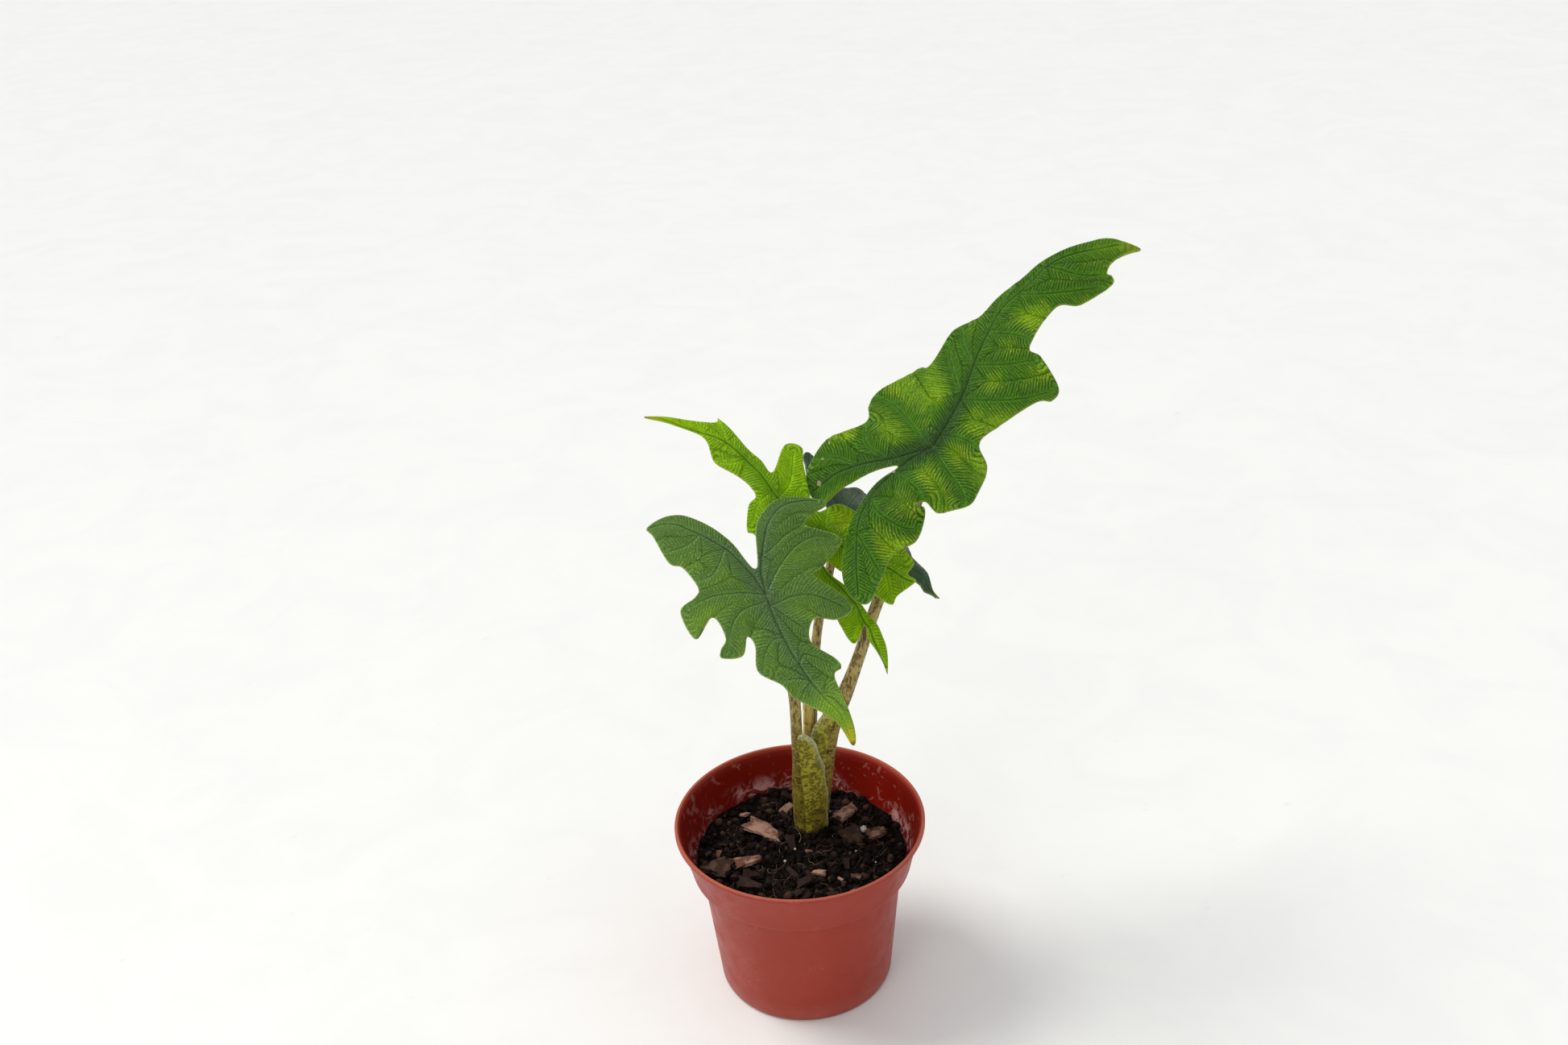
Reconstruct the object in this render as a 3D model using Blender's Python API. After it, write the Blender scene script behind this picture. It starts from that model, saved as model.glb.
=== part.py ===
"""A young alocasia with four lobed leaves, growing in a round plastic nursery pot.

Lengths are in metres. The origin is the middle of the pot's underside, +Z is up and
-Y is the side from which the leaves are seen best. Leaf tables are in millimetres.
"""

import math

import bpy
import numpy as np
from mathutils import Matrix, Vector, geometry, noise

MM = 0.001
GAP = 0.3 * MM

# ---------------------------------------------------------------- pot sizes
POT_HEIGHT = 90 * MM
RIM_RADIUS = 60 * MM
COLLAR_TOP_RADIUS = 57.6 * MM
COLLAR_BOTTOM_RADIUS = 53.4 * MM
COLLAR_HEIGHT = 23 * MM
BODY_TOP_RADIUS = 48.6 * MM
FOOT_RADIUS = 42.5 * MM
FOOT_ROUNDING = 1.5 * MM
WALL = 1.2 * MM
FLOOR = 1.6 * MM
LIP_HEIGHT = 3.4 * MM
LIP_EDGE = 0.6 * MM
POT_STEPS = 60
DRAIN_HOLES = 8
DRAIN_HOLE_RADIUS = 3.5 * MM
DRAIN_CIRCLE_RADIUS = 33 * MM
DRAIN_HOLE_TURN = 0.37
DRAIN_HOLE_STEPS = 12

# ------------------------------------------------- potting mix, corm, roots
MIX_LEVEL = 69 * MM
MIX_UNEVENNESS = 1.2 * MM
MIX_LUMPS_PER_METRE = 90
MIX_EDGE = 0.5 * MM
CROWN_MOUND = 1.0 * MM
CROWN_MOUND_RADIUS = 24.5 * MM
MIX_SPREAD_RADIUS = 50.5 * MM
MIX_STEPS = 48
MIX_RINGS = 9
CROWN = Vector((5.3, 20.5, 0)) * MM
CORM_TOP = 66.7 * MM
CORM_BOTTOM = 44 * MM
CORM_RADIUS = 10.7 * MM
CORM_STEPS = 24
ROOT_COUNT = 5
ROOT_RADIUS = 1.3 * MM
ROOT_SIDES = 8
ROOT_START_HEIGHT = 56 * MM
ROOT_BEND_HEIGHT = 50 * MM
ROOT_REACH = 34 * MM
ROOT_TURN_HEIGHT = 34 * MM
ROOT_END_HEIGHT = 14 * MM
ROOT_END_STEP = 4 * MM

# ------------------------------------------------------------ leaves, stalks
BLADE_THICKNESS = 0.8 * MM
MARGIN_SPACING = 3.2
MESH_SPACING = 5.2
STALK_SIDES = 14
SHEATH_RIM = 1.4 * MM
SHEET_SOFTNESS = 4.0
ROW_STEP = math.sqrt(3) / 2


# ------------------------------------------------------------------- helpers
def material(name, colour, roughness):
    """A plain Principled finish."""
    made = bpy.data.materials.new(name)
    made.use_nodes = True
    shader = made.node_tree.nodes["Principled BSDF"]
    shader.inputs["Base Color"].default_value = (*colour, 1)
    shader.inputs["Roughness"].default_value = roughness
    return made


def solid(name, points, faces, finish):
    """A named object from its points and faces."""
    mesh = bpy.data.meshes.new(name)
    mesh.from_pydata([tuple(p) for p in points], [], faces)
    mesh.materials.append(finish)
    made = bpy.data.objects.new(name, mesh)
    bpy.context.scene.collection.objects.link(made)
    return made


def turned(name, profile, steps, finish, centre=(0, 0, 0)):
    """A body of revolution: the profile starts and ends on the axis, outside first."""
    points = [(radius, 0, height) for radius, height in profile]
    edges = [(i, i + 1) for i in range(len(points) - 1)]
    mesh = bpy.data.meshes.new(name)
    mesh.from_pydata(points, edges, [])
    mesh.materials.append(finish)
    made = bpy.data.objects.new(name, mesh)
    made.location = centre
    bpy.context.scene.collection.objects.link(made)
    screw = made.modifiers.new("turn", "SCREW")
    screw.axis = "Z"
    screw.steps = steps
    screw.render_steps = steps
    screw.use_merge_vertices = True
    screw.merge_threshold = 0.00001
    screw.use_normal_flip = True
    return made


def cut(body, cutter):
    """Takes the cutter out of the body and keeps the cutter as a hidden helper."""
    cutter.hide_render = True
    cutter.display_type = "WIRE"
    modifier = body.modifiers.new("cut " + cutter.name, "BOOLEAN")
    modifier.operation = "DIFFERENCE"
    modifier.solver = "EXACT"
    modifier.object = cutter


def catmull_rom(before, start, end, after, t):
    """A smooth curve from start to end at 0 <= t <= 1; works on numbers and vectors."""
    linear = (end - before) * t
    square = (before * 2 - start * 5 + end * 4 - after) * (t * t)
    cube = (start * 3 - before - end * 3 + after) * (t * t * t)
    return (start * 2 + linear + square + cube) * 0.5


def smooth_path(knots, steps_between):
    """An open smooth path through the knots."""
    padded = [knots[0] * 2 - knots[1]] + knots + [knots[-1] * 2 - knots[-2]]
    path = []
    for i in range(len(knots) - 1):
        for step in range(steps_between):
            t = step / steps_between
            path.append(catmull_rom(*padded[i : i + 4], t))
    return path + [knots[-1]]


# ----------------------------------------------------------------------- pot
def make_pot(finish):
    """One moulding: floor, tapered body, ledge, wider collar and a thin lip."""
    collar_bottom = POT_HEIGHT - COLLAR_HEIGHT
    under_lip = POT_HEIGHT - LIP_HEIGHT
    profile = [
        (0, 0),
        (FOOT_RADIUS - FOOT_ROUNDING, 0),
        (FOOT_RADIUS, FOOT_ROUNDING),
        (BODY_TOP_RADIUS, collar_bottom - WALL),
        (COLLAR_BOTTOM_RADIUS - LIP_EDGE, collar_bottom - WALL),
        (COLLAR_BOTTOM_RADIUS, collar_bottom - WALL + LIP_EDGE),
        (COLLAR_TOP_RADIUS, under_lip),
        (RIM_RADIUS - LIP_EDGE, under_lip + LIP_EDGE),
        (RIM_RADIUS, under_lip + 2 * LIP_EDGE),
        (RIM_RADIUS, POT_HEIGHT - LIP_EDGE),
        (RIM_RADIUS - LIP_EDGE, POT_HEIGHT),
        (RIM_RADIUS - 2 * LIP_EDGE, POT_HEIGHT),
        (COLLAR_TOP_RADIUS - WALL, under_lip),
        (COLLAR_BOTTOM_RADIUS - WALL, collar_bottom),
        (BODY_TOP_RADIUS - WALL, collar_bottom),
        (FOOT_RADIUS - WALL, FLOOR + FOOT_ROUNDING),
        (FOOT_RADIUS - WALL - FOOT_ROUNDING, FLOOR),
        (0, FLOOR),
    ]
    pot = turned("pot", profile, POT_STEPS, finish)
    for hole in range(DRAIN_HOLES):
        angle = math.tau * (hole + DRAIN_HOLE_TURN) / DRAIN_HOLES
        profile = [
            (0, -FLOOR),
            (DRAIN_HOLE_RADIUS, -FLOOR),
            (DRAIN_HOLE_RADIUS, 2 * FLOOR),
            (0, 2 * FLOOR),
        ]
        place = (
            DRAIN_CIRCLE_RADIUS * math.cos(angle),
            DRAIN_CIRCLE_RADIUS * math.sin(angle),
            0,
        )
        drill = turned(f"drain_hole_{hole + 1}", profile, DRAIN_HOLE_STEPS, finish, place)
        cut(pot, drill)
    return pot


# ------------------------------------------------------------- mix and roots
def mix_height(x, y):
    """The uneven top of the potting mix, a little higher round the crown."""
    away = math.hypot(x - CROWN.x, y - CROWN.y) / CROWN_MOUND_RADIUS
    lumps = noise.noise(Vector((x, y, 0)) * MIX_LUMPS_PER_METRE)
    return MIX_LEVEL + MIX_UNEVENNESS * lumps + CROWN_MOUND * math.exp(-away * away)


def make_mix(finish):
    """The plug of mix that fills the body and spreads over the ledge."""
    ledge = POT_HEIGHT - COLLAR_HEIGHT
    foot = FOOT_RADIUS - WALL - GAP
    rings = [
        (foot - FOOT_ROUNDING, FLOOR + GAP),
        (foot, FLOOR + GAP + FOOT_ROUNDING),
        (BODY_TOP_RADIUS - WALL - GAP, ledge + GAP),
        (MIX_SPREAD_RADIUS, ledge + GAP),
    ]
    points = [Vector((0, 0, FLOOR + GAP))]
    angles = [math.tau * step / MIX_STEPS for step in range(MIX_STEPS)]
    for radius, height in rings:
        points += [
            Vector((radius * math.cos(a), radius * math.sin(a), height)) for a in angles
        ]
    for ring in range(MIX_RINGS):
        radius = (MIX_SPREAD_RADIUS - MIX_EDGE) * (1 - ring / MIX_RINGS)
        for a in angles:
            x = radius * math.cos(a)
            y = radius * math.sin(a)
            points.append(Vector((x, y, mix_height(x, y))))
    points.append(Vector((0, 0, mix_height(0, 0))))
    faces = []
    for step in range(MIX_STEPS):
        following = (step + 1) % MIX_STEPS
        faces.append((0, 1 + following, 1 + step))
        for ring in range(len(rings) + MIX_RINGS - 1):
            low = 1 + ring * MIX_STEPS
            high = low + MIX_STEPS
            faces.append((low + step, low + following, high + following, high + step))
        last = len(points) - 1 - MIX_STEPS
        faces.append((last + step, last + following, len(points) - 1))
    return solid("potting_mix", points, faces, finish)


def corm_profile(spread, top):
    """The corm's outline, widest below its top; spread makes it wider all round."""
    middle = (CORM_TOP + CORM_BOTTOM) / 2
    return [
        (0, CORM_BOTTOM - spread),
        (0.45 * CORM_RADIUS + spread, CORM_BOTTOM + 2 * MM - spread),
        (0.85 * CORM_RADIUS + spread, middle - 4 * MM),
        (CORM_RADIUS + spread, middle + 2 * MM),
        (CORM_RADIUS + spread, CORM_TOP),
        (CORM_RADIUS + spread, top) if spread else (CORM_RADIUS - 1 * MM, top),
        (0, top),
    ]


def root_path(number):
    """A root's middle line: out from the corm's side, then down along the pot's wall."""
    angle = math.tau * (number + 0.3) / ROOT_COUNT
    outwards = Vector((math.cos(angle), math.sin(angle), 0))
    low = ROOT_END_HEIGHT + ROOT_END_STEP * (number % 3)
    start = CROWN + outwards * (CORM_RADIUS + 0.2 * MM)
    end = outwards * ROOT_REACH
    knots = [
        start + Vector((0, 0, ROOT_START_HEIGHT)),
        start.lerp(end, 0.35) + Vector((0, 0, ROOT_BEND_HEIGHT)),
        start.lerp(end, 0.8) + Vector((0, 0, ROOT_TURN_HEIGHT)),
        end + Vector((0, 0, low)),
    ]
    return smooth_path(knots, 3)


def tube(name, path, radii, sides, finish):
    """A round tube with closed ends along the path."""
    points = []
    for i, centre in enumerate(path):
        heading = path[min(i + 1, len(path) - 1)] - path[max(i - 1, 0)]
        turn = heading.to_track_quat("Z", "Y")
        for side in range(sides):
            angle = math.tau * side / sides
            rim = Vector((math.cos(angle), math.sin(angle), 0)) * radii[i]
            points.append(centre + turn @ rim)
    return lofted(name, points, len(path), sides, finish)


def lofted(name, points, ring_count, sides, finish):
    """Closes a stack of rings of points, the first at the bottom, with end caps."""
    faces = [tuple(reversed(range(sides)))]
    for ring in range(ring_count - 1):
        for side in range(sides):
            low = ring * sides
            following = (side + 1) % sides
            faces.append(
                (low + side, low + following, low + sides + following, low + sides + side)
            )
    faces.append(tuple((ring_count - 1) * sides + side for side in range(sides)))
    return solid(name, points, faces, finish)


# -------------------------------------------------------------- leaf stalks
# Each row is one level of a stalk: the middle (x, y, z), the half width, the half
# depth, and how far the back is scooped out (a sheath) or rounded (below zero).
STALK_A = [
    (9.5, 22, 67, 4.0, 3.3, -3.3),
    (11, 21.8, 85, 4.8, 3.4, -3.4),
    (12.5, 21.5, 102, 5.4, 3.3, -3.3),
    (16, 20.5, 126, 5.6, 3.1, -3.1),
    (24.5, 20, 146, 3.9, 3.0, -3.0),
    (31, 20, 164, 3.0, 2.9, -2.9),
    (41, 22.6, 193, 2.8, 2.7, -2.7),
    (50.6, 27, 214, 2.7, 2.6, -2.6),
    (60, 29.2, 240, 2.6, 2.5, -2.5),
    (66.5, 30.4, 263.5, 2.5, 2.4, -2.4),
]
STALK_B = [
    (5.3, 18, 67, 8.3, 6.8, 3.9),
    (5.2, 17.8, 85, 8.2, 6.6, 3.8),
    (4.4, 16.5, 100, 7.4, 5.6, 2.8),
    (2.6, 13.6, 114, 4.9, 4.0, -0.8),
    (1.2, 10.6, 128, 3.1, 3.0, -2.8),
    (1, 7, 153, 2.9, 2.8, -2.8),
    (-2, 1, 180, 2.7, 2.6, -2.6),
    (-5.6, -6, 202, 2.5, 2.4, -2.4),
    (-9.2, -13, 218.5, 2.4, 2.3, -2.3),
]
STALK_C = [
    (2.4, 21.4, 67, 2.6, 2.4, -2.4),
    (3.2, 20.8, 97, 2.6, 2.4, -2.4),
    (5.6, 20.2, 136, 2.5, 2.4, -2.4),
    (6, 21, 174, 2.4, 2.3, -2.3),
    (5.4, 22, 208, 2.3, 2.2, -2.2),
    (5.7, 23.6, 229.5, 2.2, 2.1, -2.1),
]
STALK_D = [
    (5.5, 28, 67, 2.5, 2.4, -2.4),
    (7.5, 28, 97, 2.5, 2.4, -2.4),
    (9, 29, 131, 2.4, 2.3, -2.3),
    (13, 33, 173, 2.3, 2.2, -2.2),
    (20, 40.6, 201, 2.2, 2.1, -2.1),
    (25.4, 47, 223.5, 2.1, 2.0, -2.0),
]


def make_stalk(name, levels, finish):
    """A petiole whose foot is flattened into a sheath and whose top is round."""
    knots = [Vector(level[:3]) * MM for level in levels]
    shapes = [Vector(level[3:]) * MM for level in levels]
    path = smooth_path(knots, 2)
    widths = smooth_path(shapes, 2)
    half = STALK_SIDES // 2
    points = []
    for i, centre in enumerate(path):
        heading = path[min(i + 1, len(path) - 1)] - path[max(i - 1, 0)]
        if i == 0:
            heading = Vector((0, 0, 1))
        turn = Vector((0, 0, 1)).rotation_difference(heading)
        width, depth, scoop = widths[i]
        inner_width = width - SHEATH_RIM if scoop > 0 else width
        for step in range(half + 1):
            angle = math.pi * step / half
            front = Vector((-width * math.cos(angle), -depth * math.sin(angle), 0))
            points.append(centre + turn @ front)
        for step in range(1, half):
            angle = math.pi * step / half
            back = Vector((inner_width * math.cos(angle), -scoop * math.sin(angle), 0))
            points.append(centre + turn @ back)
    return lofted(name, points, len(path), 2 * half, finish)


# -------------------------------------------------------------------- leaves
# A blade is laid out from the point where its stalk joins it: millimetres along the
# blade towards the tip, across it to its left, and above its mean plane. The outline
# starts at the tip and runs round the left side first; it lists lobes and bays only.
LEAF_A = {
    "joint": (67.6, 30, 268),
    "normal": (-0.25, -0.60, 0.76),
    "heading": (0.762, 0.362, 0.537),
    "outline": [
        # upper margin, from the tip to the first bay
        (133, 4, -9), (131, 8, -4), (120, 21, -1), (87, 33, -4), (60, 33, -3),
        (47, 36, -1), (28, 32, -3), (23, 36, -5), (4, 42, -6), (-5, 39, -4),
        # left basal lobe and the slit beside it
        (-12, 33, -2), (-31, 41, -4), (-47, 38, -9), (-52, 32, -13), (-51, 22, -12),
        (-37, 17, -5), (-17, 5, 0),
        # right basal lobe, which hangs down
        (-33, 6, -1), (-56, -1, -6), (-71, -16, -9), (-69, -30, -9), (-47, -22, -8),
        (-34, -24, -9), (-22, -17, -7), (-25, -14, -2),
        # lower margin, back to the tip
        (-20, -16, -2), (-19, -24, -5), (-8, -30, -6), (0, -28, -8), (11, -22, -9),
        (15, -14, -3), (24, -13, -4), (47, -16, -7), (53, -20, -9), (60, -17, -10),
        (64, -3, -4), (64, 4, -2), (86, 11, -6), (96, 5, -9), (113, 3, -12),
        (116, 5, -10), (115, 7, -7), (121, 8, -6),
    ],
    "ribs": [
        [(0, 0, 0), (24, 7, 1), (48, 19, 1), (70, 27, 0), (94, 27, 0), (110, 22, 0)],
        [(-10, 6, 0), (-18, 11, 0), (-28, 19, -1), (-37, 25, -4), (-46, 29, -9)],
        [(-10, 3, 0), (-22, 4, 0), (-35, 3, 0), (-48, -2, -1), (-59, -12, -4)],
    ],
}
LEAF_B = {
    "joint": (-9.3, -14, 221.7),
    "normal": (0.05, -0.67, 0.74),
    "heading": (0.447, -0.648, -0.617),
    "outline": [
        # right margin, from the tip to the slit
        (74, 1, -8), (68, 5, -5), (46, 8, -2), (43, 13, -3), (38, 13, -4),
        (27, 7, -2), (19, 13, -1), (23, 22, -5), (22, 31, -8), (16, 31, -6),
        (2, 23, -1), (0, 28, -2), (-7, 42, -9), (-12, 43, -9), (-21, 32, -4),
        (-24, 36, -4), (-26, 45, -8), (-30, 45, -9), (-38, 28, -5), (-32, 13, -3),
        (-13, 2, 0),
        # left basal lobe
        (-32, -2, -2), (-48, -10, -5), (-55, -18, -7), (-57, -29, -13), (-51, -29, -11),
        (-36, -29, -8), (-30, -25, -6), (-18, -24, -2),
        # left margin, with three finger lobes, back to the tip
        (-15, -27, -3), (-14, -35, -9), (0, -35, -10), (-3, -25, -2), (7, -24, -4),
        (10, -28, -8), (13, -29, -10), (17, -21, -8), (12, -16, -2), (17, -15, -3),
        (27, -19, -5), (37, -13, -5), (45, -11, -5), (62, -1, -4),
    ],
    "ribs": [
        [(0, 0, 0), (10, -2, 1), (21, -3, 1), (33, -3, 1), (49, -1, 0), (61, 2, -1)],
        [(-10, 3, 0), (-18, 8, 0), (-29, 17, -1), (-34, 27, -3), (-32, 38, -6)],
        [(-12, -1, 0), (-27, -5, 0), (-38, -11, -1), (-49, -18, -4), (-54, -24, -8)],
    ],
}
LEAF_C = {
    "joint": (5.9, 23, 234.2),
    "normal": (0.17, -0.74, 0.65),
    "heading": (-0.783, 0.299, 0.545),
    "outline": [
        # upper margin, with one broad lobe
        (86, -2, -4), (60, -18, -3), (58, -22, -4), (41, -18, -2), (32, -17, -2),
        (24, -15, -1), (27, -31, -7), (20, -35, -7), (14, -27, -4), (-2, -12, 0),
        # basal lobe that points away to the right
        (-11, -23, -4), (-40, -22, -1), (-52, -20, -3), (-53, -14, -4), (-58, -14, -6),
        (-55, -4, -8), (-55, 1, -9), (-45, 3, -6), (-26, 4, -3), (-17, 5, 0),
        # narrow basal lobe that hangs to the front
        (-22, 8, 0), (-42, 11, -1), (-62, 19, -3), (-71, 29, -7), (-65, 25, -7),
        (-54, 21, -6), (-50, 18, -5), (-51, 26, -9), (-40, 23, -7), (-20, 15, -4),
        (-10, 12, -3),
        # lower margin, back to the tip
        (1, 15, -4), (14, 12, -8), (18, 12, -9), (24, 3, -5), (24, -2, -3),
        (33, -5, -5), (48, -5, -8), (61, -10, -3),
    ],
    "ribs": [
        [(0, 0, 0), (15, -6, 1), (29, -11, 1), (42, -13, 1), (54, -13, 0), (77, -6, -2)],
        [(-10, 5, 0), (-19, 8, 1), (-30, 11, 2), (-42, 14, 2), (-52, 18, 1)],
        [(-9, -2, 0), (-20, -5, 0), (-32, -7, 0), (-44, -10, -1), (-52, -11, -3)],
    ],
}
LEAF_D = {
    "joint": (27, 48, 228),
    "normal": (0.68, -0.15, 0.72),
    "heading": (0.706, -0.135, -0.695),
    "outline": [
        # left margin from the tip
        (67, 10, -5), (60, 10, -3), (50, 16, -2), (44, 18, -2), (32, 37, -5),
        (23, 31, -3), (20, 41, -5), (13, 42, -5), (5, 36, -3), (-4, 21, -1),
        # two basal lobes with the slit between them
        (-10, 25, -2), (-19, 34, -4), (-24, 37, -6), (-25, 31, -7), (-19, 8, -4),
        (-7, -8, 0), (-9, -17, -3), (-10, -27, -6), (-7, -30, -8), (-1, -24, -8),
        # right margin, back to the tip
        (8, -8, -4), (23, -4, -7), (32, -3, -4), (42, 1, -5), (58, 6, -6),
    ],
    "ribs": [
        [(0, 0, 0), (11, 8, 1), (24, 10, 1), (38, 8, 0), (53, 8, -1)],
        [(-5, 5, 0), (-13, 13, -1), (-20, 25, -4)],
        [(-1, -8, 0), (-4, -18, -1), (-6, -25, -4)],
    ],
}


def smooth_outline(corners, spacing):
    """The closed margin through the outline's points, evenly spaced."""
    knots = [Vector(corner[:2]) for corner in corners]
    count = len(knots)
    fine = []
    for i in range(count):
        four = [knots[(i + shift) % count] for shift in (-1, 0, 1, 2)]
        fine += [catmull_rom(*four, step / 12) for step in range(12)]
    margin = [fine[0]]
    for point in fine[1:]:
        if (point - margin[-1]).length >= spacing:
            margin.append(point)
    if (margin[-1] - margin[0]).length < 0.6 * spacing:
        margin.pop()
    return margin


def thin_plate(controls):
    """The smooth height field through control points (along, across, height)."""
    known = np.array(controls, float)
    plan = known[:, :2]
    count = len(plan)

    def kernel(places):
        squares = ((places[:, None] - plan[None]) ** 2).sum(-1)
        return 0.5 * squares * np.log(squares + 1e-9)

    flat = np.c_[np.ones(count), plan]
    system = np.zeros((count + 3, count + 3))
    system[:count, :count] = kernel(plan) + SHEET_SOFTNESS * np.eye(count)
    system[:count, count:] = flat
    system[count:, :count] = flat.T
    weights = np.linalg.solve(system, np.r_[known[:, 2], 0, 0, 0])

    def height(places):
        places = np.array(places, float)
        plane = np.c_[np.ones(len(places)), places] @ weights[count:]
        return kernel(places) @ weights[:count] + plane

    return height


def blade_plan(margin, spacing):
    """Triangles inside the margin, from its points and an even grid within it."""
    count = len(margin)
    low = Vector((min(p.x for p in margin), min(p.y for p in margin)))
    high = Vector((max(p.x for p in margin), max(p.y for p in margin)))
    points = list(margin)
    rows = int((high.y - low.y) / (spacing * ROW_STEP)) + 1
    columns = int((high.x - low.x) / spacing) + 1
    for row in range(rows):
        for column in range(columns):
            x = low.x + (column + 0.5 * (row % 2)) * spacing
            spot = Vector((x, low.y + row * spacing * ROW_STEP))
            if min((spot - edge).length for edge in margin) > 0.55 * spacing:
                points.append(spot)
    inside_only = 1
    plan = geometry.delaunay_2d_cdt(
        points, [], [list(range(count))], inside_only, 0.0001
    )
    used = sorted({corner for face in plan[2] for corner in face})
    renumbered = {old: new for new, old in enumerate(used)}
    faces = [tuple(renumbered[corner] for corner in face) for face in plan[2]]
    return [plan[0][i] for i in used], faces


def leaf_placement(leaf):
    """The matrix from the leaf's own millimetres to the plant, in metres."""
    normal = Vector(leaf["normal"]).normalized()
    heading = Vector(leaf["heading"])
    heading = (heading - normal * heading.dot(normal)).normalized()
    across = normal.cross(heading)
    turn = Matrix((heading, across, normal)).transposed().to_4x4()
    shift = Matrix.Translation(Vector(leaf["joint"]) * MM)
    return shift @ turn @ Matrix.Scale(MM, 4)


def make_leaf(name, leaf, finish):
    """A thin curved blade of even thickness."""
    margin = smooth_outline(leaf["outline"], MARGIN_SPACING)
    plan, faces = blade_plan(margin, MESH_SPACING)
    ribs = [point for rib in leaf["ribs"] for point in rib]
    heights = thin_plate(leaf["outline"] + ribs)(plan)
    place = leaf_placement(leaf)
    points = [place @ Vector((p.x, p.y, h)) for p, h in zip(plan, heights)]
    blade = solid(name, points, faces, finish)
    thickness = blade.modifiers.new("thickness", "SOLIDIFY")
    thickness.thickness = BLADE_THICKNESS
    thickness.offset = -1
    return blade


# -------------------------------------------------- loose pieces on the mix
# Bark chips: the middle (x, y), length, width and thickness in mm, turn in degrees.
BARK_CHIPS = [
    (-17, 14, 17, 8, 2.6, -33),
    (-26, -8, 11, 6, 2.2, 8),
    (-39.5, -11.5, 11, 8, 2.4, 62),
    (22, 24, 13, 7, 2.4, 30),
    (24, 7, 9, 7, 2.4, -60),
    (37, 9, 8, 6, 2.4, 10),
    (-25, -24, 10, 6, 2.0, -10),
]
CORNER_WEAR = 0.2
# Perlite grains: the middle (x, y) and the radius in mm.
PERLITE_GRAINS = [(-3, 2, 1.2), (33.5, 1.5, 1.6), (-8, -8, 1.1)]


def resting_height(x, y, reach):
    """The highest point of the mix within reach of a place, plus the gap."""
    around = [(math.cos(a), math.sin(a)) for a in (0, 1, 2, 3, 4, 5)]
    near = [mix_height(x + reach * c, y + reach * s) for c, s in around]
    return max(near + [mix_height(x, y)]) + GAP


def make_chip(name, chip, finish):
    """A flat splinter of bark with its corners knocked off."""
    x, y, length, width, thickness, degrees = [value * MM for value in chip]
    bpy.ops.mesh.primitive_cube_add(size=1)
    made = bpy.context.object
    made.name = name
    made.data.materials.append(finish)
    made.scale = (length, width, thickness)
    made.rotation_euler = (0, 0, math.radians(degrees / MM))
    floor = resting_height(x, y, 0.6 * length)
    made.location = (x, y, floor + thickness / 2)
    bevel = made.modifiers.new("worn corners", "BEVEL")
    bevel.width = CORNER_WEAR
    bevel.segments = 1


def make_grain(name, grain, finish):
    """A round puffed grain."""
    x, y, radius = [value * MM for value in grain]
    bpy.ops.mesh.primitive_ico_sphere_add(subdivisions=2, radius=radius)
    made = bpy.context.object
    made.name = name
    made.data.materials.append(finish)
    made.location = (x, y, resting_height(x, y, radius) + radius)


# ------------------------------------------------------------------ assembly
def clear_scene():
    for old in list(bpy.data.objects):
        bpy.data.objects.remove(old, do_unlink=True)


def main():
    clear_scene()
    terracotta = material("terracotta_plastic", (0.40, 0.06, 0.035), 0.45)
    soil = material("potting_mix", (0.02, 0.012, 0.008), 0.95)
    fleshy = material("corm_skin", (0.30, 0.20, 0.11), 0.7)
    pale_root = material("root_skin", (0.62, 0.52, 0.38), 0.6)
    bark = material("pine_bark", (0.22, 0.10, 0.07), 0.85)
    perlite = material("perlite", (0.85, 0.84, 0.80), 0.9)

    make_pot(terracotta)
    mix = make_mix(soil)
    turned("corm", corm_profile(0, CORM_TOP), CORM_STEPS, fleshy, CROWN)
    pocket_top = POT_HEIGHT
    pocket = corm_profile(GAP, pocket_top)
    cut(mix, turned("crown_pocket", pocket, CORM_STEPS, soil, CROWN))
    for number in range(ROOT_COUNT):
        path = root_path(number)
        radii = [ROOT_RADIUS * (1 - 0.5 * i / len(path)) for i in range(len(path))]
        channel = [radius + GAP for radius in radii]
        beyond = [path[0] - (path[1] - path[0]) * 0.5] + path[1:-1]
        beyond.append(path[-1] + (path[-1] - path[-2]).normalized() * GAP)
        tube(f"root_{number + 1}", path[1:], radii[1:], ROOT_SIDES, pale_root)
        cutter = tube(f"root_channel_{number + 1}", beyond, channel, ROOT_SIDES, soil)
        cut(mix, cutter)

    stalks = {"a": STALK_A, "b": STALK_B, "c": STALK_C, "d": STALK_D}
    leaves = {"a": LEAF_A, "b": LEAF_B, "c": LEAF_C, "d": LEAF_D}
    leaf_colours = {
        "a": (0.05, 0.16, 0.03),
        "b": (0.06, 0.15, 0.05),
        "c": (0.16, 0.34, 0.01),
        "d": (0.04, 0.10, 0.06),
    }
    for letter, levels in stalks.items():
        skin = material(f"stalk_skin_{letter}", (0.33, 0.30, 0.12), 0.5)
        make_stalk(f"petiole_{letter}", levels, skin)
    for letter, leaf in leaves.items():
        green = material(f"leaf_green_{letter}", leaf_colours[letter], 0.4)
        make_leaf(f"leaf_{letter}", leaf, green)

    for number, chip in enumerate(BARK_CHIPS):
        make_chip(f"bark_{number + 1}", chip, bark)
    for number, grain in enumerate(PERLITE_GRAINS):
        make_grain(f"perlite_{number + 1}", grain, perlite)


main()
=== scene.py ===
# %% [markdown]
# # A young alocasia in a nursery pot
# The construction comes ready made: a pot, a plug of potting mix, a corm with roots, four
# leaf stalks and four leaf blades, each at its real size. This lesson gives each of them
# its finish. Work goes from the outside in: view, pot, mix, stalks, leaves.

import math

import bpy
import numpy as np
from mathutils import Matrix, Vector, geometry, noise


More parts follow.
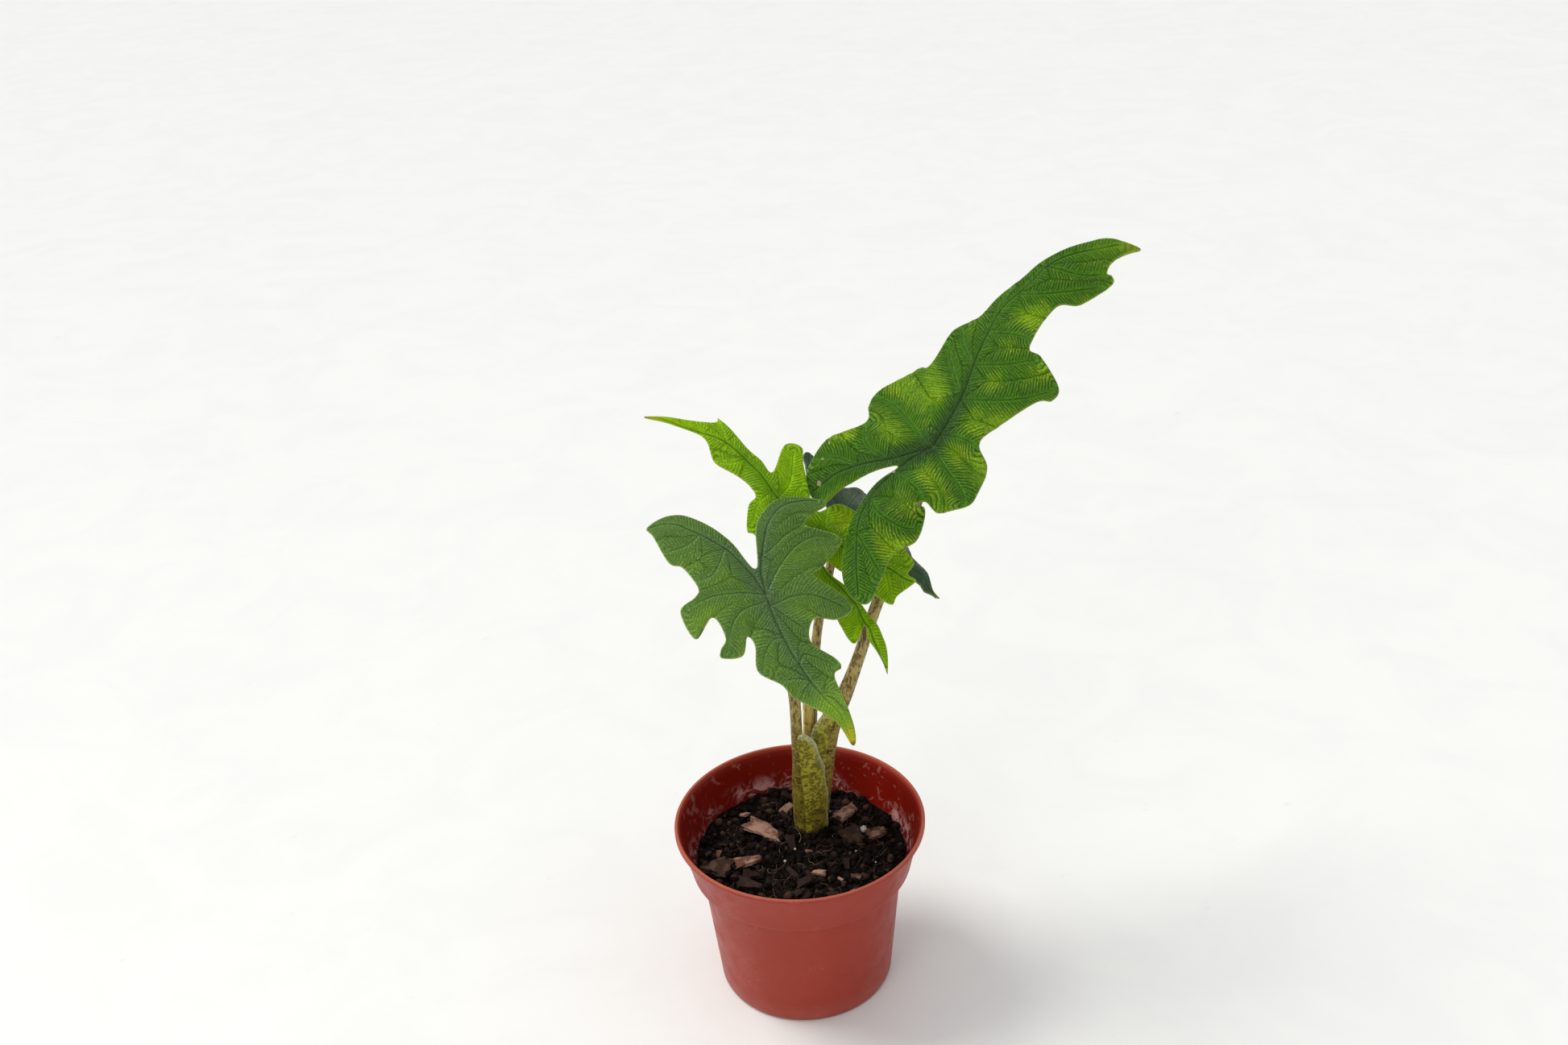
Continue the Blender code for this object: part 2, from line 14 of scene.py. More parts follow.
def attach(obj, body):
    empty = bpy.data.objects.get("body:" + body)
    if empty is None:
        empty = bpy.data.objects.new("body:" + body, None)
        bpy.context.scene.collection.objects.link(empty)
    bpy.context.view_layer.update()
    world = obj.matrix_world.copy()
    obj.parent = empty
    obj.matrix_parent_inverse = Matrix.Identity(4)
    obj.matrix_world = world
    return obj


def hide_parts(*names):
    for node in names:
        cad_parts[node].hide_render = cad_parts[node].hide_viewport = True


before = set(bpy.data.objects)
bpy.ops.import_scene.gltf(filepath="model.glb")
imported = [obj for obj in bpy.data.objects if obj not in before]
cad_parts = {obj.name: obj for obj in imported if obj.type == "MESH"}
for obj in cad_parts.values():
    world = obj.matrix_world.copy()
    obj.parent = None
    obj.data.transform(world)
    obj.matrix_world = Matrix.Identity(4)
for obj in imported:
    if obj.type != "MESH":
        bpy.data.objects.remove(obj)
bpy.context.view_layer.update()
MM = 0.001
print("nodes:", ", ".join(sorted(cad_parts)))

# %% [markdown]
# ## The view
# A long-ish lens from a little above shows the leaves nearly face on and lets us look
# into the pot. The camera leans by three degrees, as a hand-held one does. It is tilted
# about X and then turned about its own Z, the axis it looks along.

# %% Camera
EYE = Vector((0, -618, 574)) * MM
LOOK_DOWN = math.radians(27.7)
LEAN = math.radians(-3.0)
LENS = 37.0

camera_data = bpy.data.cameras.new("camera")
camera_data.lens = LENS
camera_data.sensor_width = 36.0
camera_data.clip_start = 0.01
camera = bpy.data.objects.new("camera", camera_data)
bpy.context.scene.collection.objects.link(camera)
tilt = Matrix.Rotation(math.pi / 2 - LOOK_DOWN, 4, "X")
camera.matrix_world = Matrix.Translation(EYE) @ tilt @ Matrix.Rotation(LEAN, 4, "Z")
bpy.context.scene.camera = camera
print("camera at", [round(value, 3) for value in EYE], "lens", LENS)

# %% [markdown]
# ## Helpers for materials
# Every finish here is a small graph of nodes. Typing `nodes.new` and `links.new` for each
# one hides the idea, so `add` makes a node, sets it and plugs sockets in with one call,
# and `blend` and `ramp` do the two things that colour graphs need most.


# %% Node helpers
def add(tree, kind, inputs=None, **settings):
    """Makes a node; an input given as a socket is linked, any other value is set."""
    made = tree.nodes.new(kind)
    for name, value in settings.items():
        setattr(made, name, value)
    for key, value in (inputs or {}).items():
        if isinstance(value, bpy.types.NodeSocket):
            tree.links.new(value, made.inputs[key])
        else:
            made.inputs[key].default_value = value
    return made


def blend(tree, factor, first, second, mode="MIX"):
    """Mixes two colours; a colour is a socket or (red, green, blue)."""
    made = tree.nodes.new("ShaderNodeMix")
    made.data_type = "RGBA"
    made.blend_type = mode
    for key, value in ((0, factor), (6, first), (7, second)):
        if isinstance(value, bpy.types.NodeSocket):
            tree.links.new(value, made.inputs[key])
        else:
            made.inputs[key].default_value = value if key == 0 else (*value, 1)
    return made.outputs[2]


def ramp(tree, factor, low, high, start=0.0, end=1.0):
    """A smooth step: start below low, end above high."""
    made = add(tree, "ShaderNodeMapRange", {0: factor, 1: low, 2: high, 3: start, 4: end})
    made.interpolation_type = "SMOOTHSTEP"
    return made.outputs[0]


def maths(tree, operation, first, second=0.0, third=0.0):
    """One arithmetic step."""
    inputs = {0: first, 1: second, 2: third}
    return add(tree, "ShaderNodeMath", inputs, operation=operation).outputs[0]


def new_material(name):
    """An empty procedural material: (material, tree, its Principled shader)."""
    made = bpy.data.materials.new(name)
    made.use_nodes = True
    return made, made.node_tree, made.node_tree.nodes["Principled BSDF"]


def scaled_object_place(tree, stretch=(1, 1, 1)):
    """Object coordinates in millimetres, stretched where a pattern runs one way."""
    place = add(tree, "ShaderNodeTexCoord").outputs["Object"]
    scale = tuple(1000 * value for value in stretch)
    return add(tree, "ShaderNodeMapping", {0: place, 3: scale}).outputs[0]


def clouds(tree, place, scale, detail=4.0, roughness=0.55, distortion=0.0):
    """A noise value between 0 and 1; scale is in blotches per unit of place."""
    made = add(tree, "ShaderNodeTexNoise", {"Vector": place, "Scale": scale})
    made.inputs["Detail"].default_value = detail
    made.inputs["Roughness"].default_value = roughness
    made.inputs["Distortion"].default_value = distortion
    return made.outputs["Fac"]


def finish_with(tree, shader, colour=None, roughness=None, height=None, depth=0.3):
    """Plugs the usual three results in; depth is the bump's distance in millimetres."""
    if colour is not None:
        tree.links.new(colour, shader.inputs["Base Color"])
    if roughness is not None:
        tree.links.new(roughness, shader.inputs["Roughness"])
    if height is not None:
        bump = add(tree, "ShaderNodeBump", {"Height": height, "Distance": depth * MM})
        tree.links.new(bump.outputs[0], shader.inputs["Normal"])


print("node helpers ready")

# %% [markdown]
# ## Floor and light
# The plant stands on plain white stone under wide soft light. A large floor plane and an
# even sky give the flat, shadow-poor look of a catalogue table. A sun lamp with a very
# wide disc comes from the upper left, a little behind: it rakes over the blades, so that
# their relief shows, and shines through the thin ones. A soft lamp fills the front.


# %% Floor
bpy.ops.object.select_all(action="DESELECT")
bpy.ops.mesh.primitive_plane_add(size=16, location=(0, 0, -0.0002))
floor = bpy.context.object
floor.name = "floor"
stone, tree, shader = new_material("pale_stone")
place = scaled_object_place(tree)
veins = clouds(tree, place, 0.012, 6, 0.6, 1.2)
specks = ramp(tree, clouds(tree, place, 0.06, 3), 0.70, 0.80)
pale = blend(tree, ramp(tree, veins, 0.35, 0.7), (0.862, 0.864, 0.846), (0.836, 0.838, 0.824))
pale = blend(tree, maths(tree, "MULTIPLY", specks, 0.25), pale, (0.6, 0.6, 0.6))
finish_with(tree, shader, colour=pale)
shader.inputs["Roughness"].default_value = 0.5
floor.data.materials.append(stone)
print("floor 16 m across, just under the pot")


# %% Sky and lamps
def soft_lamp(name, place, aim, size, watts, colour):
    """A square area lamp that faces a point."""
    data = bpy.data.lights.new(name, "AREA")
    data.size = size
    data.energy = watts
    data.color = colour
    lamp = bpy.data.objects.new(name, data)
    lamp.location = place
    lamp.rotation_euler = (aim - lamp.location).to_track_quat("-Z", "Y").to_euler()
    bpy.context.scene.collection.objects.link(lamp)
    return lamp


sky = bpy.data.worlds.new("white_room")
sky.use_nodes = True
sky.node_tree.nodes["Background"].inputs["Color"].default_value = (0.98, 0.99, 1.0, 1)
sky.node_tree.nodes["Background"].inputs["Strength"].default_value = 0.66
bpy.context.scene.world = sky
bpy.context.scene.view_settings.view_transform = "Standard"
heart = Vector((0.03, 0.0, 0.2))
soft_lamp("front_fill", Vector((-0.8, -1.2, 1.1)), heart, 0.7, 3.5, (1.0, 0.99, 0.96))
SUN_FROM = Vector((-0.62, 0.22, 1.0))
sun_data = bpy.data.lights.new("wide_sun", "SUN")
sun_data.energy = 1.72
sun_data.angle = math.radians(26)
sun_data.color = (1.0, 0.99, 0.95)
sun = bpy.data.objects.new("wide_sun", sun_data)
sun.rotation_euler = (-SUN_FROM).to_track_quat("-Z", "Y").to_euler()
bpy.context.scene.collection.objects.link(sun)
print("one sky, one sun and one fill lamp")

# %% [markdown]
# ## Helpers for shapes
# An operator works on whatever is selected, so each piece starts by clearing the
# selection. Finished pieces go to `hand_over`: it hangs them on the plant's body and
# hides the parts of the construction that they stand for.


# %% Shape helpers
def deselect_everything():
    if bpy.context.mode != "OBJECT":
        bpy.ops.object.mode_set(mode="OBJECT")
    bpy.ops.object.select_all(action="DESELECT")


def make_active(piece):
    deselect_everything()
    piece.select_set(True)
    bpy.context.view_layer.objects.active = piece


def piece_from(name, points, faces, material):
    """A smooth-shaded piece from arrays of points (in metres) and faces."""
    mesh = bpy.data.meshes.new(name)
    mesh.from_pydata([tuple(point) for point in points], [], faces)
    mesh.update()
    mesh.shade_smooth()
    mesh.materials.append(material)
    piece = bpy.data.objects.new(name, mesh)
    bpy.context.scene.collection.objects.link(piece)
    return piece


def store(piece, name, values):
    """Keeps one number per point, for the material to read."""
    attribute = piece.data.attributes.new(name, "FLOAT", "POINT")
    attribute.data.foreach_set("value", np.asarray(values, np.float32))


def read_stored(tree, name):
    """The stored number, as a socket."""
    made = add(tree, "ShaderNodeAttribute")
    made.attribute_name = name
    return made.outputs["Fac"]


def hand_over(piece, slot, *nodes):
    """Lets the piece ride on the plant and stand for the given nodes."""
    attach(piece, "root")
    if nodes:
        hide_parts(*nodes)
    print(f"{piece.name}: {len(piece.data.polygons)} faces")


# %% [markdown]
# ## The pot
# A nursery pot is one thin moulding of polypropylene. On the real one the body tapers to
# the foot, then steps out to a collar, so that pots nest without jamming, and a thin lip
# stiffens the rim. It could be a lathe profile with a Screw modifier. Here it is drawn
# up by hand instead: one ring of edges is extruded and scaled from level to level, up
# the outside, over the lip and down the inside, so each edge gets its own small radius.

# %% Pot sizes
POT_HEIGHT = 90 * MM
RIM_RADIUS = 60 * MM
COLLAR_TOP = 57.6 * MM
COLLAR_FOOT = 53.4 * MM
STEP_HEIGHT = 65.8 * MM
BODY_TOP = 48.6 * MM
FOOT_RADIUS = 42.5 * MM
WALL = 1.2 * MM
POT_SIDES = 160

outside = [
    (FOOT_RADIUS - 2.6 * MM, 0.0),
    (FOOT_RADIUS - 1.5 * MM, 0.05 * MM),
    (FOOT_RADIUS - 0.6 * MM, 0.5 * MM),
    (FOOT_RADIUS, 1.7 * MM),
    (FOOT_RADIUS + 0.1 * MM, 3 * MM),
    (BODY_TOP - 0.1 * MM, STEP_HEIGHT - 1.6 * MM),
    (BODY_TOP + 0.1 * MM, STEP_HEIGHT - 0.6 * MM),
    (BODY_TOP + 0.7 * MM, STEP_HEIGHT - 0.1 * MM),
    (BODY_TOP + 1.6 * MM, STEP_HEIGHT),
    (COLLAR_FOOT - 1.1 * MM, STEP_HEIGHT + 0.1 * MM),
    (COLLAR_FOOT - 0.3 * MM, STEP_HEIGHT + 0.5 * MM),
    (COLLAR_FOOT, STEP_HEIGHT + 1.4 * MM),
    (COLLAR_FOOT + 0.2 * MM, STEP_HEIGHT + 2.6 * MM),
    (COLLAR_TOP - 0.1 * MM, POT_HEIGHT - 4.4 * MM),
    (COLLAR_TOP + 0.2 * MM, POT_HEIGHT - 3.6 * MM),
    (COLLAR_TOP + 0.9 * MM, POT_HEIGHT - 3.0 * MM),
    (RIM_RADIUS - 0.4 * MM, POT_HEIGHT - 2.6 * MM),
    (RIM_RADIUS, POT_HEIGHT - 2.1 * MM),
    (RIM_RADIUS, POT_HEIGHT - 0.7 * MM),
    (RIM_RADIUS - 0.3 * MM, POT_HEIGHT - 0.15 * MM),
    (RIM_RADIUS - 0.8 * MM, POT_HEIGHT),
]
inside = [
    (RIM_RADIUS - 1.4 * MM, POT_HEIGHT - 0.15 * MM),
    (RIM_RADIUS - 1.8 * MM, POT_HEIGHT - 0.8 * MM),
    (COLLAR_TOP - WALL + 0.3 * MM, POT_HEIGHT - 3.4 * MM),
    (COLLAR_TOP - WALL - 0.1 * MM, POT_HEIGHT - 5 * MM),
    (COLLAR_FOOT - WALL + 0.1 * MM, STEP_HEIGHT + 3.2 * MM),
    (COLLAR_FOOT - WALL - 0.3 * MM, STEP_HEIGHT + 1.8 * MM),
    (COLLAR_FOOT - WALL - 1.0 * MM, STEP_HEIGHT + 1.3 * MM),
    (BODY_TOP - WALL + 0.5 * MM, STEP_HEIGHT + 1.2 * MM),
    (BODY_TOP - WALL, STEP_HEIGHT + 0.4 * MM),
    (FOOT_RADIUS - WALL, 3.2 * MM),
    (FOOT_RADIUS - WALL - 0.5 * MM, 2.0 * MM),
    (FOOT_RADIUS - WALL - 1.6 * MM, 1.6 * MM),
]
print("levels:", len(outside), "outside,", len(inside), "inside")

# %% Draw the pot up from a ring
deselect_everything()
radius, height = outside[0]
bpy.ops.mesh.primitive_circle_add(vertices=POT_SIDES, radius=radius, location=(0, 0, height))
pot = bpy.context.object
pot.name = "pot_shell"
bpy.ops.object.mode_set(mode="EDIT")
for next_radius, next_height in outside[1:] + inside:
    rise = (0, 0, next_height - height)
    bpy.ops.mesh.extrude_edges_move(TRANSFORM_OT_translate={"value": rise})
    growth = next_radius / radius
    bpy.ops.transform.resize(value=(growth, growth, 1))
    radius, height = next_radius, next_height
bpy.ops.mesh.edge_face_add()
bpy.ops.mesh.select_all(action="DESELECT")
bpy.ops.object.mode_set(mode="OBJECT")
for vertex in pot.data.vertices:
    vertex.select = vertex.co.z < 0.01 * MM
bpy.ops.object.mode_set(mode="EDIT")
bpy.ops.mesh.edge_face_add()
bpy.ops.mesh.select_all(action="SELECT")
bpy.ops.mesh.normals_make_consistent(inside=False)
bpy.ops.object.mode_set(mode="OBJECT")
bpy.ops.object.transform_apply(location=True, rotation=True, scale=True)
print("pot walls:", len(pot.data.polygons), "faces")

# %% [markdown]
# Water leaves through eight holes near the foot. A hole through a flat floor is a job
# for a Boolean: one cylinder is added, copied round the circle, and taken away.

# %% Drain holes
HOLES = 8
HOLE_CIRCLE = 33 * MM
HOLE_RADIUS = 3.5 * MM
deselect_everything()
for hole in range(HOLES):
    turn = math.tau * (hole + 0.37) / HOLES
    spot = (HOLE_CIRCLE * math.cos(turn), HOLE_CIRCLE * math.sin(turn), 0)
    bpy.ops.mesh.primitive_cylinder_add(
        vertices=24, radius=HOLE_RADIUS, depth=8 * MM, location=spot
    )
    drill = bpy.context.object
    make_active(pot)
    boolean = pot.modifiers.new("drain hole", "BOOLEAN")
    boolean.operation = "DIFFERENCE"
    boolean.solver = "EXACT"
    boolean.object = drill
    bpy.ops.object.modifier_apply(modifier=boolean.name)
    bpy.data.objects.remove(drill, do_unlink=True)
bpy.ops.object.shade_smooth_by_angle(angle=math.radians(40))
print("pot with", HOLES, "holes:", len(pot.data.polygons), "faces")

# %% [markdown]
# The plastic is brick red. Inside, it is painted darker and more saturated: painted
# shade and light bounced between the walls. Handling leaves pale scuffs, watering leaves
# a film of lime and fine dust low on the inside wall, and painted highlights add thin
# glints on the inside wall as pale streaks. The top of the lip is lightened. All of that
# is placed by height and by distance from the axis, so it lands where it belongs.


# %% Shared effect: scuffs
def build_scuffs():
    """A group that gives thin broken scratches and soft rubbed patches."""
    group = bpy.data.node_groups.new("scuffs", "ShaderNodeTree")
    group.interface.new_socket("Place", in_out="INPUT", socket_type="NodeSocketVector")
    group.interface.new_socket("Amount", in_out="INPUT", socket_type="NodeSocketFloat")
    group.interface.new_socket("Mask", in_out="OUTPUT", socket_type="NodeSocketFloat")
    start = group.nodes.new("NodeGroupInput")
    end = group.nodes.new("NodeGroupOutput")
    bent = clouds(group, start.outputs["Place"], 0.11, 5, 0.65, 2.5)
    line = maths(group, "ABSOLUTE", maths(group, "SUBTRACT", bent, 0.5))
    thin = ramp(group, line, 0.002, 0.010, 1.0, 0.0)
    here = ramp(group, clouds(group, start.outputs["Place"], 0.045, 2), 0.56, 0.68)
    grain = ramp(group, clouds(group, start.outputs["Place"], 1.6, 3), 0.40, 0.62)
    both = maths(group, "MULTIPLY", maths(group, "MULTIPLY", thin, here), grain)
    final = maths(group, "MULTIPLY", both, start.outputs["Amount"])
    group.links.new(final, end.inputs["Mask"])
    return group


scuffs = build_scuffs()
print("scuffs group:", len(scuffs.nodes), "nodes")

# %% Pot material
plastic, tree, shader = new_material("brick_red_plastic")
place = scaled_object_place(tree)
split = add(tree, "ShaderNodeSeparateXYZ", {0: place})
across = maths(tree, "MULTIPLY", split.outputs[0], split.outputs[0])
across = maths(tree, "MULTIPLY_ADD", split.outputs[1], split.outputs[1], across)
from_axis = maths(tree, "SQRT", across)
level = split.outputs[2]
wall_line = maths(tree, "MULTIPLY_ADD", level, 0.22, 37.95)
inner = ramp(tree, maths(tree, "SUBTRACT", from_axis, wall_line), 0.1, 0.5, 1.0, 0.0)
inner = maths(tree, "MULTIPLY", inner, ramp(tree, level, 66.5, 67.0))
patches = clouds(tree, place, 0.05, 5, 0.6)
fine = clouds(tree, place, 0.9, 4, 0.6)
red = blend(tree, patches, (0.285, 0.024, 0.012), (0.345, 0.036, 0.019))
red = blend(tree, maths(tree, "MULTIPLY", fine, 0.35), red, (0.37, 0.060, 0.036))
# Painted shade: the inside wall is darkened and made more saturated, as shade and light bounced
# between the walls would make it.
red = blend(tree, maths(tree, "MULTIPLY", inner, 0.93), red, (0.185, 0.004, 0.0004))
# The top of the lip is lightened.
rim = ramp(tree, level, 89.0, 89.9)
red = blend(tree, maths(tree, "MULTIPLY", rim, 0.5), red, (0.50, 0.15, 0.085))
rubbed = add(tree, "ShaderNodeGroup", node_tree=scuffs)
rubbed.inputs["Amount"].default_value = 0.30
tree.links.new(place, rubbed.inputs["Place"])
red = blend(tree, rubbed.outputs["Mask"], red, (0.70, 0.42, 0.36))
foot_dust = maths(tree, "MULTIPLY", ramp(tree, level, 0, 14, 1, 0), patches)
red = blend(tree, maths(tree, "MULTIPLY", foot_dust, 0.35), red, (0.45, 0.22, 0.17))
low_inside = maths(tree, "MULTIPLY", inner, ramp(tree, level, 70, 79, 1, 0))
film = ramp(tree, clouds(tree, place, 0.17, 6, 0.72, 1.2), 0.47, 0.57)
film = maths(tree, "MULTIPLY", film, ramp(tree, clouds(tree, place, 0.035, 2), 0.38, 0.56))
film = maths(tree, "MULTIPLY", film, low_inside)
red = blend(tree, maths(tree, "MULTIPLY", film, 0.85), red, (0.66, 0.33, 0.31))
# Painted highlights: thin curved glints on the wet inside wall, as pale pinkish streaks.
painted_glints = ramp(tree, clouds(tree, place, 0.16, 3, 0.5, 1.5), 0.60, 0.64)
painted_glints = maths(tree, "MULTIPLY", maths(tree, "MULTIPLY", painted_glints, inner), 0.16)
red = blend(tree, painted_glints, red, (0.75, 0.45, 0.38))
gloss = ramp(tree, clouds(tree, place, 0.12, 4), 0.3, 0.75, 0.34, 0.50)
gloss = maths(tree, "SUBTRACT", gloss, maths(tree, "MULTIPLY", film, 0.22))
relief = maths(tree, "MULTIPLY_ADD", film, 1.2, maths(tree, "MULTIPLY", fine, 0.22))
finish_with(tree, shader, red, gloss, relief, 0.25)
shader.inputs["Specular IOR Level"].default_value = 0.20
pot.data.materials.clear()
pot.data.materials.append(plastic)
hand_over(pot, "terracotta_plastic", "pot")

# %% [markdown]
# ## The potting mix
# The mix is a dark, damp heap of peat crumbs, bark, fibres and a few white perlite
# grains. A noise-displaced disc alone looks like asphalt, and thousands of separate
# crumbs alone let light through. So the two are combined: a closed plug with a lumpy
# top, and loose matter of four kinds scattered over it.

# %% Even triangles inside any margin
MIX_LEVEL = 69.0
MIX_RADIUS = 50.5
CROWN = (5.3, 20.5)
ROW_STEP = math.sqrt(3) / 2


def distance_to_line(places, line):
    """For each place: (distance to the line, length along the line to there)."""
    starts = line[:-1]
    legs = line[1:] - starts
    lengths = np.linalg.norm(legs, axis=1)
    before = np.r_[0, np.cumsum(lengths)[:-1]]
    distances = np.empty(len(places))
    along = np.empty(len(places))
    for low in range(0, len(places), 3000):
        part = places[low : low + 3000]
        offset = part[:, None] - starts[None]
        share = np.clip((offset * legs).sum(-1) / (lengths**2 + 1e-9), 0, 1)
        gap = np.linalg.norm(offset - share[..., None] * legs, axis=-1)
        best = gap.argmin(1)
        rows = np.arange(len(part))
        distances[low : low + 3000] = gap[rows, best]
        along[low : low + 3000] = before[best] + share[rows, best] * lengths[best]
    return distances, along


def inside_margin(places, margin):
    """True for the places inside the closed margin, by counting crossings."""
    found = np.zeros(len(places), bool)
    ends = np.roll(margin, -1, axis=0)
    for (x1, y1), (x2, y2) in zip(margin, ends):
        if y1 == y2:
            continue
        crosses = (y1 > places[:, 1]) != (y2 > places[:, 1])
        side = x1 + (places[:, 1] - y1) / (y2 - y1) * (x2 - x1)
        found ^= crosses & (places[:, 0] < side)
    return found


def fill_evenly(margin, spacing, extra=None):
    """Triangles inside the margin on an even grid; extra points are kept as they are."""
    low = margin.min(0)
    high = margin.max(0)
    rows = []
    for number, y in enumerate(np.arange(low[1], high[1], spacing * ROW_STEP)):
        x = np.arange(low[0] + 0.5 * spacing * (number % 2), high[0], spacing)
        rows.append(np.c_[x, np.full(len(x), y)])
    grid = np.concatenate(rows)
    if extra is not None:
        cells = set(map(tuple, np.round(extra / (0.62 * spacing)).astype(int)))
        own = np.round(grid / (0.62 * spacing)).astype(int)
        grid = grid[[tuple(cell) not in cells for cell in own]]
        _, first = np.unique(
            np.round(extra / (0.4 * spacing)).astype(int), axis=0, return_index=True
        )
        grid = np.concatenate([extra[first], grid])
    grid = grid[inside_margin(grid, margin)]
    closed = np.concatenate([margin, margin[:1]])
    grid = grid[distance_to_line(grid, closed)[0] > 0.45 * spacing]
    points = [Vector(place) for place in np.concatenate([margin, grid])]
    loop = list(range(len(margin)))
    keep_inside = 1
    made = geometry.delaunay_2d_cdt(points, [], [loop], keep_inside, 1e-6)
    used = sorted({corner for face in made[2] for corner in face})
    number_of = {old: new for new, old in enumerate(used)}
    faces = [tuple(number_of[corner] for corner in face) for face in made[2]]
    return np.array([made[0][i] for i in used]), faces


def edge_loop_of(faces):
    """The boundary corners of a flat mesh, in order round it."""
    sides = set()
    for a, b, c in faces:
        sides |= {(a, b), (b, c), (c, a)}
    following = {a: b for a, b in sides if (b, a) not in sides}
    start = next(iter(following))
    loop = [start]
    while following[loop[-1]] != start:
        loop.append(following[loop[-1]])
    return loop


print("mesh filling helpers ready")


# %% The lumpy top of the plug
def mix_height(x, y):
    """The top of the mix in millimetres, higher round the crown and clumpy."""
    near = math.exp(-((x - CROWN[0]) ** 2 + (y - CROWN[1]) ** 2) / 600)
    broad = 1.3 * noise.noise(Vector((x, y, 0)) * 0.09)
    clumps = 1.7 * noise.noise(Vector((x, y, 7)) * 0.24)
    crumbs = 1.1 * noise.noise(Vector((x, y, 3)) * 0.75)
    return MIX_LEVEL + broad + clumps + crumbs + near


turns = np.linspace(0, math.tau, 220, endpoint=False)
circle = MIX_RADIUS * np.c_[np.cos(turns), np.sin(turns)]
plan, faces = fill_evenly(circle, 0.95)
top = [Vector((x, y, mix_height(x, y))) * MM for x, y in plan]
loop = edge_loop_of(faces)
skirt = [(1.0, 67.4), (0.932, 67.2), (0.925, 66.0), (0.81, 3.4), (0.78, 1.9)]
points = list(top)
faces = list(faces)
previous = loop
for share, level_mm in skirt:
    ring = []
    for corner in loop:
        ring.append(len(points))
        points.append(Vector((*(plan[corner] * share), level_mm)) * MM)
    for i in range(len(loop)):
        j = (i + 1) % len(loop)
        faces.append((previous[j], previous[i], ring[i], ring[j]))
    previous = ring
faces.append(tuple(reversed(previous)))
print("plug of mix:", len(faces), "faces")

# %% [markdown]
# Damp peat is nearly black, but never evenly so: dry crumbs turn brown and wet ones
# shine. The colour swings between three browns at the size of a crumb, and roughness
# follows a second, wider noise so that some patches look freshly watered.


# %% Mix material
def earth_material(name, dark, brown, light, size):
    """Damp crumbly earth; size is the number of crumbs per millimetre."""
    made, tree, shader = new_material(name)
    place = scaled_object_place(tree)
    grain = clouds(tree, place, size, 6, 0.65)
    colour = blend(tree, ramp(tree, grain, 0.38, 0.60), dark, brown)
    colour = blend(tree, ramp(tree, grain, 0.62, 0.74), colour, light)
    wet = ramp(tree, clouds(tree, place, 0.10, 3), 0.42, 0.62)
    gloss = maths(tree, "MULTIPLY_ADD", wet, -0.34, 0.92)
    finish_with(tree, shader, colour, gloss, grain, 0.9)
    shader.inputs["Specular IOR Level"].default_value = 0.09
    return made


peat = earth_material(
    "damp_peat", (0.0012, 0.0006, 0.0004), (0.007, 0.0032, 0.0018), (0.04, 0.018, 0.010), 0.8
)
plug = piece_from("mix_plug", points, faces, peat)
hand_over(plug, "potting_mix", "potting_mix")

# %% [markdown]
# A loose piece is modelled once as a rough lump and then repeated with its own size,
# turn and shade. Each lump has only twenty or eighty faces, because there are thousands.
# `scatter` places them on the plug, sunk by part of their height, away from the stalks.


# %% Scattering lumps
def lump_model(subdivisions, roughness, seed):
    """A rough pebble about one unit across: (points, faces)."""
    deselect_everything()
    bpy.ops.mesh.primitive_ico_sphere_add(subdivisions=subdivisions, radius=0.5)
    model = bpy.context.object
    bpy.ops.object.mode_set(mode="EDIT")
    bpy.ops.transform.vertex_random(offset=roughness, seed=seed)
    bpy.ops.object.mode_set(mode="OBJECT")
    points = np.array([vertex.co[:] for vertex in model.data.vertices])
    faces = [tuple(face.vertices) for face in model.data.polygons]
    bpy.data.objects.remove(model, do_unlink=True)
    return points, faces


def turn_at_random(chance):
    """A random rotation as a 3 by 3 array."""
    spin = Matrix.Rotation(chance.uniform(0, math.tau), 3, "Z")
    lean = Matrix.Rotation(chance.uniform(0, math.pi), 3, "X")
    return np.array(spin @ lean @ Matrix.Rotation(chance.uniform(0, math.tau), 3, "Z"))


def spot_on_mix(chance, reach):
    """A random place on the mix, clear of the stalks."""
    while True:
        turn = chance.uniform(0, math.tau)
        away = reach * math.sqrt(chance.uniform(0, 1))
        x = away * math.cos(turn)
        y = away * math.sin(turn)
        if math.hypot((x - CROWN[0]) / 1.15, y - CROWN[1]) > 9.2:
            return x, y


def scatter(name, models, sizes, flatness, reach, lift, seed, material):
    """One piece made of many lumps; sizes is one number per lump, in millimetres."""
    chance = np.random.default_rng(seed)
    points = []
    faces = []
    shades = []
    count = 0
    for size in sizes:
        model, model_faces = models[int(chance.integers(len(models)))]
        x, y = spot_on_mix(chance, reach)
        squash = np.array([1, chance.uniform(0.6, 1), chance.uniform(*flatness)])
        body = (model * squash * size) @ turn_at_random(chance).T
        body += (x, y, mix_height(x, y) + lift * size)
        points.append(body * MM)
        faces += [tuple(count + corner for corner in face) for face in model_faces]
        count += len(model)
        shades += [chance.uniform(0, 1)] * len(model)
    piece = piece_from(name, np.concatenate(points), faces, material)
    store(piece, "shade", shades)
    return piece


def shaded_lumps(name, colours, gloss, bump_size):
    """A material whose colour depends on each lump's own shade."""
    made, tree, shader = new_material(name)
    place = scaled_object_place(tree)
    shade = read_stored(tree, "shade")
    grain = clouds(tree, place, bump_size, 5, 0.7)
    first, second, third = colours
    colour = blend(tree, ramp(tree, shade, 0.0, 0.6), first, second)
    colour = blend(tree, ramp(tree, shade, 0.75, 1.0), colour, third)
    colour = blend(tree, maths(tree, "MULTIPLY", grain, 0.6), colour, first)
    finish_with(tree, shader, colour, None, grain, 0.35)
    shader.inputs["Roughness"].default_value = gloss
    shader.inputs["Specular IOR Level"].default_value = 0.11
    return made


